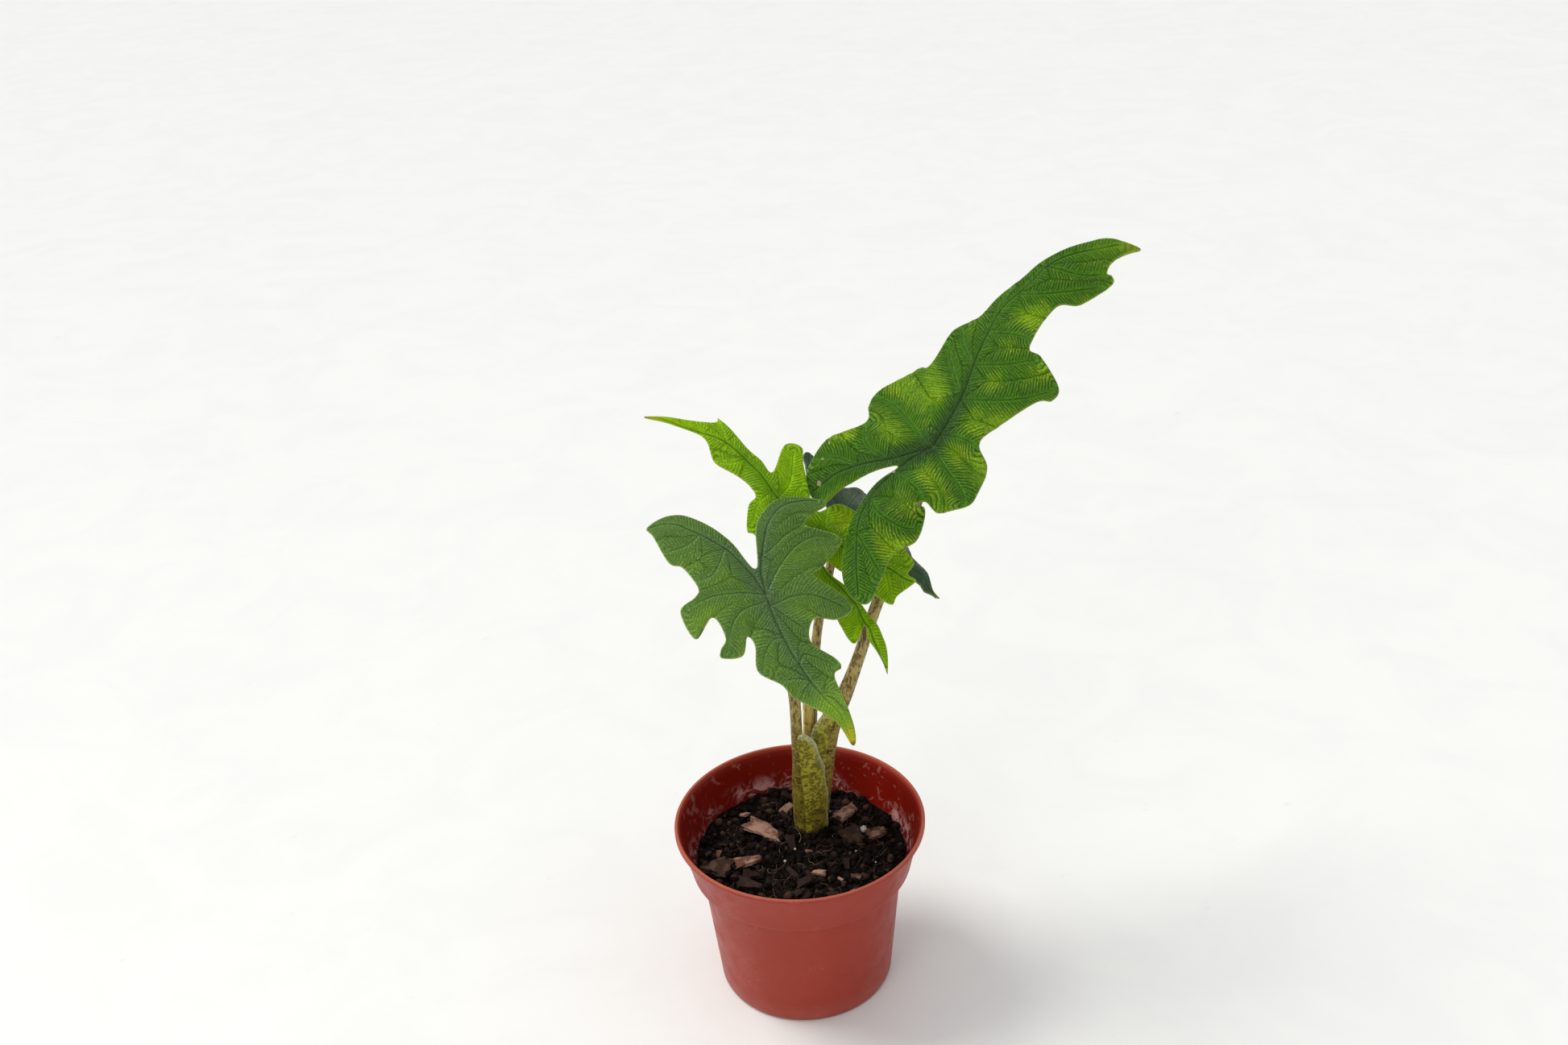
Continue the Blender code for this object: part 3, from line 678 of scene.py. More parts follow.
crumb_browns = ((0.0014, 0.0007, 0.0004), (0.008, 0.0036, 0.0020), (0.085, 0.040, 0.024))
crumb_skin = shaded_lumps("crumb_skin", crumb_browns, 0.72, 1.8)
rough_lumps = [lump_model(1, 0.22, seed) for seed in range(6)]
chance = np.random.default_rng(11)
crumb_sizes = 0.8 + 5.0 * chance.power(0.55, 3200) ** 2.6
crumbs = scatter(
    "peat_crumbs", rough_lumps, crumb_sizes, (0.5, 1.0), 50.0, 0.12, 12, crumb_skin
)
hand_over(crumbs, "potting_mix")

# %% Perlite
white_grains = ((0.42, 0.38, 0.32), (0.66, 0.62, 0.54), (0.80, 0.77, 0.70))
grain_skin = shaded_lumps("perlite_skin", white_grains, 0.85, 2.5)
puffed = [lump_model(2, 0.17, seed) for seed in range(20, 24)]
perlite_sizes = 0.6 + 1.3 * np.random.default_rng(5).power(0.6, 15) ** 2
grains = scatter("perlite_grains", puffed, perlite_sizes, (0.7, 1), 47, 0.35, 8, grain_skin)
hand_over(grains, "perlite")
# The middle (x, y) and width in mm of the three largest grains.
LARGE_GRAINS = [(-3, 2, 1.5), (31, 11, 3.4), (-8, -8, 1.3)]
for number, (x, y, size) in enumerate(LARGE_GRAINS):
    model, faces = puffed[number]
    spots = (model * size + (x, y, mix_height(x, y) + 0.3 * size + 0.6)) * MM
    grain = piece_from(f"large_grain_{number + 1}", spots, faces, grain_skin)
    store(grain, "shade", [0.5] * len(spots))
    hand_over(grain, "perlite", f"perlite_{number + 1}")

# %% [markdown]
# ## Bark chips
# Composted pine bark splits into flat flakes with torn ends. A cube is subdivided,
# shaken with a fixed seed so that its corners wander, and flattened to its size; the
# flake is then laid on the mix with a slight tilt. The seven largest stand for the construction's
# own chips, the rest fill in between.

# %% Bark material
bark, tree, shader = new_material("pine_bark_layers")
place = scaled_object_place(tree)
along_grain = scaled_object_place(tree, (0.35, 1.6, 2.4))
layers = clouds(tree, along_grain, 0.9, 5, 0.6, 0.8)
stains = clouds(tree, place, 0.16, 4)
wood = blend(tree, ramp(tree, layers, 0.3, 0.7), (0.060, 0.022, 0.013), (0.22, 0.100, 0.062))
wood = blend(tree, ramp(tree, stains, 0.42, 0.60), wood, (0.40, 0.225, 0.165))
shade = read_stored(tree, "shade")
dark_wood = blend(tree, layers, (0.003, 0.0012, 0.0006), (0.030, 0.0115, 0.006))
wood = blend(tree, ramp(tree, shade, 0.15, 0.95, 0.0, 0.97), wood, dark_wood)
finish_with(tree, shader, wood, None, layers, 0.8)
shader.inputs["Roughness"].default_value = 0.62
shader.inputs["Specular IOR Level"].default_value = 0.16
print("bark material:", len(tree.nodes), "nodes")


# %% Bark chips
def make_chip(name, x, y, size, degrees, tilt, seed, shade):
    """One torn flake lying on the mix; size is (length, width, thickness) in mm."""
    deselect_everything()
    bpy.ops.mesh.primitive_cube_add(size=1)
    chip = bpy.context.object
    chip.name = name
    bpy.ops.object.mode_set(mode="EDIT")
    bpy.ops.mesh.subdivide(number_cuts=5)
    bpy.ops.transform.vertex_random(offset=0.075, seed=seed)
    flat = [side * MM for side in size]
    bpy.ops.transform.resize(value=flat, center_override=(0, 0, 0))
    bpy.ops.object.mode_set(mode="OBJECT")
    chance = np.random.default_rng(seed)
    taper = chance.uniform(0.1, 0.55)
    for vertex in chip.data.vertices:
        reach = vertex.co.x / (size[0] * MM)
        vertex.co.y *= 1 - taper * (reach + 0.5)
        vertex.co.z += 0.10 * size[0] * MM * (0.25 - reach * reach)
        wander = noise.noise_vector(vertex.co * 380 + Vector((seed, 0, 0)))
        vertex.co.x += 0.14 * size[0] * MM * wander.x
        vertex.co.y += 0.14 * size[1] * MM * wander.y
        vertex.co.z += 0.30 * size[2] * MM * wander.z
    turn = Matrix.Rotation(math.radians(degrees), 4, "Z")
    turn = turn @ Matrix.Rotation(math.radians(tilt), 4, "Y")
    floor_level = MIX_LEVEL + 0.5 * size[2] + 1.4
    chip.data.transform(Matrix.Translation(Vector((x, y, floor_level)) * MM) @ turn)
    bpy.ops.object.shade_smooth_by_angle(angle=math.radians(32))
    store(chip, "shade", [shade] * len(chip.data.vertices))
    chip.data.materials.clear()
    chip.data.materials.append(bark)
    return chip


# The middle (x, y), (length, width, thickness), turn, tilt and shade of each large chip.
LARGE_CHIPS = [
    (-17, 14, (19, 9.5, 2.2), -33, 10, 0.05),
    (-26, -8, (12, 7, 1.8), 8, -9, 0.20),
    (-39, -11, (15, 12, 2.2), 62, 14, 0.72),
    (22, 24, (14, 8, 2.0), 30, -14, 0.35),
    (25, 7, (10, 9, 2.4), -60, 10, 0.78),
    (37, 8, (9, 7, 2.2), 10, -10, 0.45),
    (-25, -25, (11, 7, 1.8), -10, 12, 0.85),
]
for number, (x, y, size, degrees, tilt, shade) in enumerate(LARGE_CHIPS):
    name = f"bark_chip_{number + 1}"
    chip = make_chip(name, x, y, size, degrees, tilt, 40 + number, shade)
    hand_over(chip, "pine_bark", f"bark_{number + 1}")

# %% Small chips, joined into one piece
chance = np.random.default_rng(77)
small = []
for number in range(48):
    x, y = spot_on_mix(chance, 45)
    length = chance.uniform(2.5, 7.5)
    size = (length, length * chance.uniform(0.35, 0.8), chance.uniform(0.6, 1.6))
    spin = chance.uniform(0, 360)
    tilt = chance.uniform(-35, 35)
    shade = 1 - 0.85 * chance.uniform(0, 1) ** 5
    small.append(make_chip("small_chip", x, y, size, spin, tilt, 200 + number, shade))
deselect_everything()
for chip in small:
    chip.select_set(True)
bpy.context.view_layer.objects.active = small[0]
bpy.ops.object.join()
litter = bpy.context.object
litter.name = "bark_litter"
hand_over(litter, "pine_bark")

# %% [markdown]
# ## Fibres
# Coir and root hairs lie across the crumbs and catch the light. A fibre is a bent
# three-sided tube of four short lengths: a handful of faces is enough for a hair.


# %% Fibres
def fibre_points(chance, x, y):
    """The middle line of one fibre, lying on the mix."""
    heading = chance.uniform(0, math.tau)
    step = chance.uniform(1.0, 2.6)
    bend = chance.normal(0, 0.35)
    line = []
    for _ in range(6):
        lift = 0.7 + chance.uniform(0, 0.7)
        line.append(Vector((x, y, mix_height(x, y) + lift)))
        x += step * math.cos(heading)
        y += step * math.sin(heading)
        heading += bend
    return line


def fibre_bundle(count, seed, thickness):
    chance = np.random.default_rng(seed)
    points = []
    faces = []
    shades = []
    for _ in range(count):
        line = fibre_points(chance, *spot_on_mix(chance, 40))
        width = chance.uniform(*thickness)
        start = len(points)
        for number, spot in enumerate(line):
            thin = width * (1 - 0.12 * number)
            for corner in range(3):
                turn = math.tau * corner / 3
                side = Vector((math.cos(turn), math.sin(turn) * 0.6, math.sin(turn)))
                points.append((spot + side * thin) * MM)
        for ring in range(len(line) - 1):
            for corner in range(3):
                low = start + 3 * ring + corner
                other = start + 3 * ring + (corner + 1) % 3
                faces.append((low, other, other + 3, low + 3))
        faces.append((start + 2, start + 1, start))
        last = start + 3 * (len(line) - 1)
        faces.append((last, last + 1, last + 2))
        shades += [chance.uniform(0, 1)] * (3 * len(line))
    return points, faces, shades


fibre_browns = ((0.05, 0.028, 0.018), (0.16, 0.09, 0.05), (0.36, 0.24, 0.14))
fibre_skin = shaded_lumps("fibre_skin", fibre_browns, 0.7, 3.0)
points, faces, shades = fibre_bundle(170, 21, (0.10, 0.24))
fibres = piece_from("coir_fibres", points, faces, fibre_skin)
store(fibres, "shade", shades)
hand_over(fibres, "potting_mix")

# %% [markdown]
# ## Leaf stalks
# A stalk is a loft: rings of points are drawn round a curved middle line, flattened
# into a sheath at the foot and nearly round at the top. Real stalks of this plant are
# blotched like snake skin. Each level in the tables gives the middle, the half width,
# the half depth and how far the back is scooped out (below zero means rounded).


# %% Curves and lofts
def through(knots, steps):
    """A smooth open curve through the knots (Catmull-Rom), as rows of an array."""
    knots = np.array(knots, float)
    first = 2 * knots[0] - knots[1]
    last = 2 * knots[-1] - knots[-2]
    padded = np.vstack([first, knots, last])
    rows = []
    for i in range(len(knots) - 1):
        before, start, end, after = padded[i : i + 4]
        for t in np.linspace(0, 1, steps, endpoint=False):
            bend = (2 * before - 5 * start + 4 * end - after) * t * t
            twist = (3 * start - before - 3 * end + after) * t**3
            rows.append(0.5 * (2 * start + (end - before) * t + bend + twist))
    rows.append(knots[-1])
    return np.array(rows)


def loft_faces(rings, sides):
    faces = [tuple(reversed(range(sides)))]
    for ring in range(rings - 1):
        for side in range(sides):
            low = ring * sides + side
            other = ring * sides + (side + 1) % sides
            faces.append((low, other, other + sides, low + sides))
    faces.append(tuple((rings - 1) * sides + side for side in range(sides)))
    return faces


STALKS = {
    "a": [
        (9.5, 22, 66.8, 4.0, 3.3, -3.3),
        (11, 21.8, 85, 4.8, 3.4, -3.4),
        (12.5, 21.5, 102, 5.4, 3.3, -3.3),
        (16, 20.5, 126, 5.6, 3.1, -3.1),
        (24.5, 20, 146, 3.9, 3.0, -3.0),
        (31, 20, 164, 3.0, 2.9, -2.9),
        (41, 22.6, 193, 2.8, 2.7, -2.7),
        (50.6, 27, 214, 2.7, 2.6, -2.6),
        (60, 29.2, 240, 2.6, 2.5, -2.5),
        (66.5, 30.4, 263.5, 2.4, 2.3, -2.3),
        (67.1, 30.3, 265.4, 1.2, 1.1, -1.1),
    ],
    "b": [
        (5.3, 18, 66.8, 8.0, 6.6, 3.9),
        (5.2, 17.8, 85, 8.2, 6.6, 3.8),
        (4.4, 16.5, 100, 7.2, 5.5, 2.8),
        (2.6, 13.6, 114, 4.7, 4.0, -0.8),
        (0.9, 10.6, 128, 2.9, 2.9, -2.8),
        (0.6, 7, 153, 2.7, 2.7, -2.7),
        (-2, 1, 180, 2.7, 2.6, -2.6),
        (-5.6, -6, 202, 2.5, 2.4, -2.4),
        (-9.1, -12.6, 217.6, 2.3, 2.2, -2.2),
        (-9.3, -13.5, 219.4, 1.1, 1.0, -1.0),
    ],
    "c": [
        (2.4, 21.4, 66.8, 2.6, 2.4, -2.4),
        (4.6, 20.8, 97, 2.6, 2.4, -2.4),
        (6.8, 20.2, 136, 2.5, 2.4, -2.4),
        (6.4, 21, 174, 2.4, 2.3, -2.3),
        (5.4, 22, 208, 2.3, 2.2, -2.2),
        (5.7, 23.2, 229.5, 2.1, 2.0, -2.0),
        (5.8, 23.1, 231.6, 1.0, 0.9, -0.9),
    ],
    "d": [
        (5.5, 28, 66.8, 2.5, 2.4, -2.4),
        (7.5, 28, 97, 2.5, 2.4, -2.4),
        (9, 29, 131, 2.4, 2.3, -2.3),
        (13, 33, 173, 2.3, 2.2, -2.2),
        (20, 40.6, 201, 2.2, 2.1, -2.1),
        (25.4, 47, 223.5, 2.0, 1.9, -1.9),
        (26.3, 47.7, 225.6, 1.0, 0.9, -0.9),
    ],
}
STALK_SIDES = 40
RIM_SETBACK = 1.4


def stalk_points(levels):
    """The rings of a stalk, in millimetres, with a faint ribbing along it."""
    rows = through(levels, 12)
    path = rows[:, :3]
    half = STALK_SIDES // 2
    points = []
    for i, (x, y, z, width, depth, scoop) in enumerate(rows):
        heading = Vector(path[min(i + 1, len(path) - 1)] - path[max(i - 1, 0)])
        if i == 0:
            heading = Vector((0, 0, 1))
        turn = Vector((0, 0, 1)).rotation_difference(heading)
        inner = width - RIM_SETBACK if scoop > 0 else width
        for step in range(STALK_SIDES):
            angle = math.pi * step / half
            if step <= half:
                spot = Vector((-width * math.cos(angle), -depth * math.sin(angle), 0))
            else:
                spot = Vector((-inner * math.cos(angle), scoop * math.sin(angle), 0))
            ribs = 1 + 0.012 * math.sin(9 * angle + 0.05 * z)
            points.append(Vector((x, y, z)) + turn @ (spot * ribs))
    return points, len(rows)


print("stalk tables:", {letter: len(levels) for letter, levels in STALKS.items()})

# %% [markdown]
# The skin is pale olive with brown blotches. Low down they crowd together in short
# crosswise zigzags, and higher up they stretch into dashes along the stalk. So the same
# noise is read through two mappings, and the height above the mix chooses between them.


# %% Shared effect: snake-skin blotches
def build_blotches():
    """A group: Place in millimetres gives two masks, Brown and Dark."""
    group = bpy.data.node_groups.new("snake_blotches", "ShaderNodeTree")
    group.interface.new_socket("Place", in_out="INPUT", socket_type="NodeSocketVector")
    group.interface.new_socket("Cover", in_out="INPUT", socket_type="NodeSocketFloat")
    group.interface.new_socket("Brown", in_out="OUTPUT", socket_type="NodeSocketFloat")
    group.interface.new_socket("Dark", in_out="OUTPUT", socket_type="NodeSocketFloat")
    start = group.nodes.new("NodeGroupInput")
    end = group.nodes.new("NodeGroupOutput")
    place = start.outputs["Place"]
    level = add(group, "ShaderNodeSeparateXYZ", {0: place}).outputs[2]
    dashes = add(group, "ShaderNodeMapping", {0: place, 3: (1, 1, 0.38)}).outputs[0]
    bands = add(group, "ShaderNodeMapping", {0: place, 3: (0.75, 0.75, 1.0)}).outputs[0]
    high = clouds(group, dashes, 0.50, 4, 0.62, 0.9)
    low = clouds(group, bands, 0.42, 4, 0.62, 1.4)
    chooser = ramp(group, level, 108, 150)
    both = add(group, "ShaderNodeMix", {0: chooser, 2: low, 3: high}).outputs[0]
    edge = maths(group, "SUBTRACT", 0.60, maths(group, "MULTIPLY", start.outputs["Cover"], 0.2))
    above = maths(group, "SUBTRACT", both, edge)
    group.links.new(ramp(group, above, -0.01, 0.05), end.inputs["Brown"])
    group.links.new(ramp(group, above, 0.06, 0.13), end.inputs["Dark"])
    return group


def srgb(red, green, blue):
    """A colour as a paint chart gives it (0 to 255), turned linear for the shader."""
    scaled = [value / 255 for value in (red, green, blue)]
    return tuple(v / 12.92 if v <= 0.04045 else ((v + 0.055) / 1.055) ** 2.4 for v in scaled)


def stalk_skin(name, low, high, brown, dark, cover):
    """Blotched skin: low and high are the ground colours at the foot and the top."""
    made, tree, shader = new_material(name)
    place = scaled_object_place(tree)
    level = add(tree, "ShaderNodeSeparateXYZ", {0: place}).outputs[2]
    ground = blend(tree, ramp(tree, level, 85, 170), low, high)
    soft = clouds(tree, place, 0.25, 3)
    ground = blend(tree, maths(tree, "MULTIPLY", soft, 0.5), ground, brown)
    group = add(tree, "ShaderNodeGroup", node_tree=blotches)
    tree.links.new(place, group.inputs["Place"])
    group.inputs["Cover"].default_value = cover
    skin = blend(tree, maths(tree, "MULTIPLY", group.outputs["Brown"], 0.75), ground, brown)
    skin = blend(tree, maths(tree, "MULTIPLY", group.outputs["Dark"], 0.8), skin, dark)
    streaks = clouds(tree, scaled_object_place(tree, (2.2, 2.2, 0.16)), 1.0, 4)
    pale = maths(tree, "MULTIPLY", ramp(tree, streaks, 0.52, 0.75), 0.35)
    skin = blend(tree, pale, skin, high)
    earth = ramp(tree, maths(tree, "MULTIPLY_ADD", soft, -9.0, level), 66.0, 70.0, 1.0, 0.0)
    skin = blend(tree, maths(tree, "MULTIPLY", earth, 0.85), skin, (0.012, 0.007, 0.004))
    relief = maths(tree, "MULTIPLY_ADD", streaks, 0.8, group.outputs["Brown"])
    gloss = ramp(tree, soft, 0.3, 0.7, 0.36, 0.52)
    finish_with(tree, shader, skin, gloss, relief, 0.10)
    shader.inputs["Specular IOR Level"].default_value = 0.4
    return made


blotches = build_blotches()
OLIVE = srgb(146, 134, 38)
TAN = srgb(190, 170, 98)
BROWN = srgb(106, 78, 26)
DARK_BROWN = srgb(66, 48, 14)
skins = {
    "a": stalk_skin("stalk_skin_tan", srgb(150, 140, 52), TAN, BROWN, DARK_BROWN, 0.60),
    "b": stalk_skin("stalk_skin_olive", OLIVE, TAN, srgb(98, 82, 22), srgb(64, 56, 12), 0.66),
    # Stalk c's top colour is lightened: partly its own yellower skin, partly painted light making
    # up for the shade it stands in behind leaf b.
    "c": stalk_skin(
        "stalk_skin_yellow_painted_light", OLIVE, srgb(232, 210, 108), srgb(158, 128, 44), BROWN, 0.46
    ),
    "d": stalk_skin("stalk_skin_back", OLIVE, TAN, BROWN, DARK_BROWN, 0.5),
}
for letter, levels in STALKS.items():
    points, rings = stalk_points(levels)
    faces = loft_faces(rings, STALK_SIDES)
    places = [point * MM for point in points]
    stalk = piece_from(f"stalk_{letter}", places, faces, skins[letter])
    hand_over(stalk, f"stalk_skin_{letter}", f"petiole_{letter}")

# %% [markdown]
# The youngest outer sheath ends in a rounded shoulder, the ligule, that folds round
# the stalks behind it. It is a thin sheet, so it gets its own piece: a row of quarter
# ellipses from the front of the stalk to the free edge, thick at the stalk and papery
# at the rim. The rim's distance is stored, because the rim is pale and dotted.

# %% Sheath with a rounded shoulder
# Each row: height, where the sheet starts (x, y) and where its free edge is (x, y).
SHEATH = [
    (66.8, 3.0, 11.6, 13.2, 19.5),
    (78, 3.0, 11.4, 13.9, 19.0),
    (90, 2.8, 10.8, 14.0, 18.6),
    (100, 2.2, 10.6, 13.4, 18.0),
    (108, 1.7, 10.0, 12.5, 17.0),
    (115, 1.4, 9.5, 11.2, 15.6),
    (122, 1.0, 8.7, 9.4, 13.6),
    (127, 0.9, 8.0, 7.2, 11.8),
    (130.6, 1.0, 7.7, 4.8, 9.8),
    (132, 1.4, 7.6, 3.0, 8.8),
]
INNER_SHEATH = [
    (90, 13.0, 17.6, 6.4, 19.6),
    (104, 13.6, 17.4, 7.0, 19.0),
    (118, 15.2, 16.8, 7.6, 18.2),
    (128, 17.0, 16.4, 8.8, 17.6),
    (134, 19.4, 16.4, 11.8, 17.4),
    (138, 21.0, 16.5, 15.6, 17.2),
    (140, 22.0, 16.6, 19.6, 16.9),
]
SHEET_STEPS = 22


def make_sheath(name, table, material):
    """A thin curved sheet from its table, thick at the stalk and papery at the rim."""
    rows = through(table, 8)
    crest = rows[:, 0].max()
    front = []
    back = []
    to_rim = []
    for level, x0, y0, x1, y1 in rows:
        for step in range(SHEET_STEPS + 1):
            share = step / SHEET_STEPS
            angle = share * math.pi / 2
            x = x0 + (x1 - x0) * math.sin(angle)
            y = y1 - (y1 - y0) * math.cos(angle)
            side = math.copysign(0.8, x1 - x0)
            outward = Vector((side * math.sin(angle), -math.cos(angle) - 0.2, 0))
            outward.normalize()
            wave = 0.35 * share * math.sin(0.35 * level + 2 * share)
            outer = Vector((x, y, level)) + outward * (0.35 + wave)
            front.append(outer)
            back.append(outer - outward * (0.85 - 0.55 * share))
            to_edge = (1 - share) * math.hypot(x1 - x0, y1 - y0)
            to_rim.append(min(to_edge, crest - level + 0.15))
    width = SHEET_STEPS + 1
    shift = len(front)
    faces = []
    for row in range(len(rows) - 1):
        for step in range(SHEET_STEPS):
            a = row * width + step
            b = a + width
            faces.append((a, a + 1, b + 1, b))
            faces.append((shift + a, shift + b, shift + b + 1, shift + a + 1))
    border = list(range(width))
    border += [row * width + SHEET_STEPS for row in range(1, len(rows))]
    border += [(len(rows) - 1) * width + step for step in range(SHEET_STEPS - 1, -1, -1)]
    border += [row * width for row in range(len(rows) - 2, 0, -1)]
    for i, corner in enumerate(border):
        other = border[(i + 1) % len(border)]
        faces.append((other, corner, shift + corner, shift + other))
    if table[0][3] < table[0][1]:
        faces = [tuple(reversed(face)) for face in faces]
    sheath = piece_from(name, [point * MM for point in front + back], faces, material)
    store(sheath, "rim", to_rim + to_rim)
    return sheath


sheath_skin, tree, shader = new_material("sheath_skin")
place = scaled_object_place(tree)
rim = read_stored(tree, "rim")
group = add(tree, "ShaderNodeGroup", node_tree=blotches)
tree.links.new(place, group.inputs["Place"])
group.inputs["Cover"].default_value = 0.62
ground = blend(tree, clouds(tree, place, 0.22, 3), srgb(162, 154, 34), srgb(182, 176, 66))
skin = blend(tree, maths(tree, "MULTIPLY", group.outputs["Brown"], 0.80), ground, srgb(88, 80, 14))
pale_band = ramp(tree, rim, 0.6, 4.4, 1.0, 0.0)
skin = blend(tree, maths(tree, "MULTIPLY", pale_band, 0.75), skin, srgb(205, 205, 160))
dots = add(tree, "ShaderNodeTexVoronoi", {"Vector": place, "Scale": 0.95})
dotted = maths(tree, "MULTIPLY", ramp(tree, dots.outputs["Distance"], 0.25, 0.5, 1, 0), 0.85)
dotted = maths(tree, "MULTIPLY", dotted, ramp(tree, rim, 0.3, 1.0))
dotted = maths(tree, "MULTIPLY", dotted, ramp(tree, rim, 3.5, 6.5, 1.0, 0.0))
skin = blend(tree, dotted, skin, srgb(92, 96, 44))
edge_line = ramp(tree, rim, 0.25, 0.7, 1.0, 0.0)
skin = blend(tree, edge_line, skin, srgb(222, 218, 180))
level = add(tree, "ShaderNodeSeparateXYZ", {0: place}).outputs[2]
earth = maths(tree, "MULTIPLY", ramp(tree, level, 66.0, 70.5, 1.0, 0.0), 0.85)
skin = blend(tree, earth, skin, (0.012, 0.007, 0.004))
finish_with(tree, shader, skin, None, dots.outputs["Distance"], 0.10)
shader.inputs["Roughness"].default_value = 0.45
sheath = make_sheath("sheath_shoulder", SHEATH, sheath_skin)
hand_over(sheath, "stalk_skin_b", "petiole_b")
inner_sheath = make_sheath("inner_sheath", INNER_SHEATH, sheath_skin)
hand_over(inner_sheath, "stalk_skin_a", "petiole_a")

# %% [markdown]
# ## Leaf blades
# The blades carry this plant, and their shape is free: lobes, bays, a slit at the back,
# a surface that dives at the margins. Operators are slow at that, so the blades are
# written as meshes. Each is laid out flat in its own millimetres, along the blade and
# across it, from the point where the stalk joins. Margin and ribs also have heights,
# and a thin-plate surface, as a bent sheet of metal would take, runs through them all.
#
# The joint, the outline and the ribs below are the construction's own numbers. What
# the lesson adds are the side veins, the relief, the thickness and the ruffled margin.

# %% Leaf tables
LEAVES = {}
LEAVES["a"] = {
    "joint": (67.6, 30, 268),
    "normal": (-0.25, -0.60, 0.76),
    "heading": (0.762, 0.362, 0.537),
    "outline": [
        (133, 4, -9), (131, 8, -4), (120, 21, -1), (87, 33, -4), (60, 33, -3),
        (47, 36, -1), (28, 32, -3), (23, 36, -5), (4, 42, -6), (-5, 39, -4),
        (-12, 33, -2), (-31, 41, -4), (-47, 38, -9), (-52, 32, -13), (-51, 22, -12),
        (-37, 17, -5), (-17, 5, 0),
        (-33, 6, -1), (-56, -1, -6), (-71, -16, -9), (-69, -30, -9), (-47, -22, -8),
        (-34, -24, -9), (-22, -17, -7), (-25, -14, -2),
        (-20, -16, -2), (-19, -24, -5), (-8, -30, -6), (0, -28, -8), (11, -22, -9),
        (15, -14, -3), (24, -13, -4), (47, -16, -7), (53, -20, -9), (60, -17, -10),
        (64, -3, -4), (64, 4, -2), (86, 11, -6), (96, 5, -9), (113, 3, -12),
        (116, 5, -10), (115, 7, -7), (121, 8, -6),
    ],
    "ribs": [
        [(0, 0, 0), (24, 7, 1), (48, 19, 1), (70, 27, 0), (94, 27, 0), (110, 22, 0)],
        [(-10, 6, 0), (-18, 11, 0), (-28, 19, -1), (-37, 25, -4), (-46, 29, -9)],
        [(-10, 3, 0), (-22, 4, 0), (-35, 3, 0), (-48, -2, -1), (-59, -12, -4)],
    ],
    "tips": [(127, 11), (-50, 31), (-70, -24)],
    "veins": [
        [(24, 7), (35, -4), (46, -12), (58, -17)],
        [(27, 11), (33, 22), (40, 33)],
        [(-2, 1), (1, 13), (3, 29), (1, 41)],
        [(0, -1), (-3, -11), (-5, -23), (-9, -29)],
        [(-36, 2), (-38, -6), (-35, -16), (-30, -21)],
        [(-51, -4), (-53, -12), (-56, -24)],
        [(56, 22), (64, 12), (67, 6)],
        [(80, 27), (91, 16), (110, 4)],
        [(6, 2), (12, -7), (14, -14)],
        [(97, 27), (105, 14), (114, 7)],
        [(-18, 11), (-19, 24), (-13, 32)],
        [(-29, 20), (-33, 31), (-39, 39)],
        [(-20, 4), (-19, -9), (-20, -16)],
        [(40, 15), (44, 26), (50, 34)],
        [(66, 26), (72, 30), (80, 33)],
        [(40, 15), (50, 5), (61, -2)],
    ],
    "scars": [(-46, 30, 1.3), (-37, 36, 0.7), (-30, 38, 0.9), (-20, 5, 1.0)],
}
LEAVES["b"] = {
    "joint": (-9.3, -14, 221.7),
    "normal": (0.05, -0.67, 0.74),
    "heading": (0.447, -0.648, -0.617),
    "outline": [
        (74, 1, -8), (68, 5, -5), (46, 8, -2), (43, 13, -3), (38, 13, -4),
        (27, 7, -2), (19, 13, -1), (23, 22, -5), (22, 31, -8), (16, 31, -6),
        (2, 23, -1), (0, 28, -2), (-7, 42, -9), (-12, 43, -9), (-21, 32, -4),
        (-24, 36, -4), (-26, 45, -8), (-30, 45, -9), (-38, 28, -5), (-32, 13, -3),
        (-13, 2, 0),
        (-32, -2, -2), (-48, -10, -5), (-55, -18, -7), (-57, -29, -13), (-51, -29, -11),
        (-36, -29, -8), (-30, -25, -6), (-18, -24, -2),
        (-15, -27, -3), (-14, -35, -9), (0, -35, -10), (-3, -25, -2), (7, -24, -4),
        (10, -28, -8), (13, -29, -10), (17, -21, -8), (12, -16, -2), (17, -15, -3),
        (27, -19, -5), (37, -13, -5), (45, -11, -5), (62, -1, -4),
    ],
    "ribs": [
        [(0, 0, 0), (10, -2, 1), (21, -3, 1), (33, -3, 1), (49, -1, 0), (61, 2, -1)],
        [(-10, 3, 0), (-18, 8, 0), (-29, 17, -1), (-34, 27, -3), (-32, 38, -6)],
        [(-12, -1, 0), (-27, -5, 0), (-38, -11, -1), (-49, -18, -4), (-54, -24, -8)],
    ],
    "tips": [(72, 1.5), (-30, 43), (-56, -28)],
    "veins": [
        [(-1, -1), (-4, -5), (-8, -13), (-11, -21), (-13, -31)],
        [(2, -2), (1, -12), (4, -19), (12, -26)],
        [(20, -3), (19, -8), (23, -14), (28, -17)],
        [(5, -1), (6, 11), (10, 19), (20, 29)],
        [(-2, 2), (-8, 10), (-14, 22), (-15, 33), (-11, 41)],
        [(-28, -5), (-20, -15), (-21, -23)],
        [(-39, -12), (-38, -19), (-41, -28)],
        [(34, -3), (31, 2), (40, 11)],
        [(-17, 7), (-18, 13), (-21, 22), (-22, 31)],
        [(4, -1), (13, 3), (22, 8)],
        [(42, -2), (38, -7), (36, -12)],
        [(49, -1), (52, 4), (58, 6)],
    ],
    "scars": [],
}
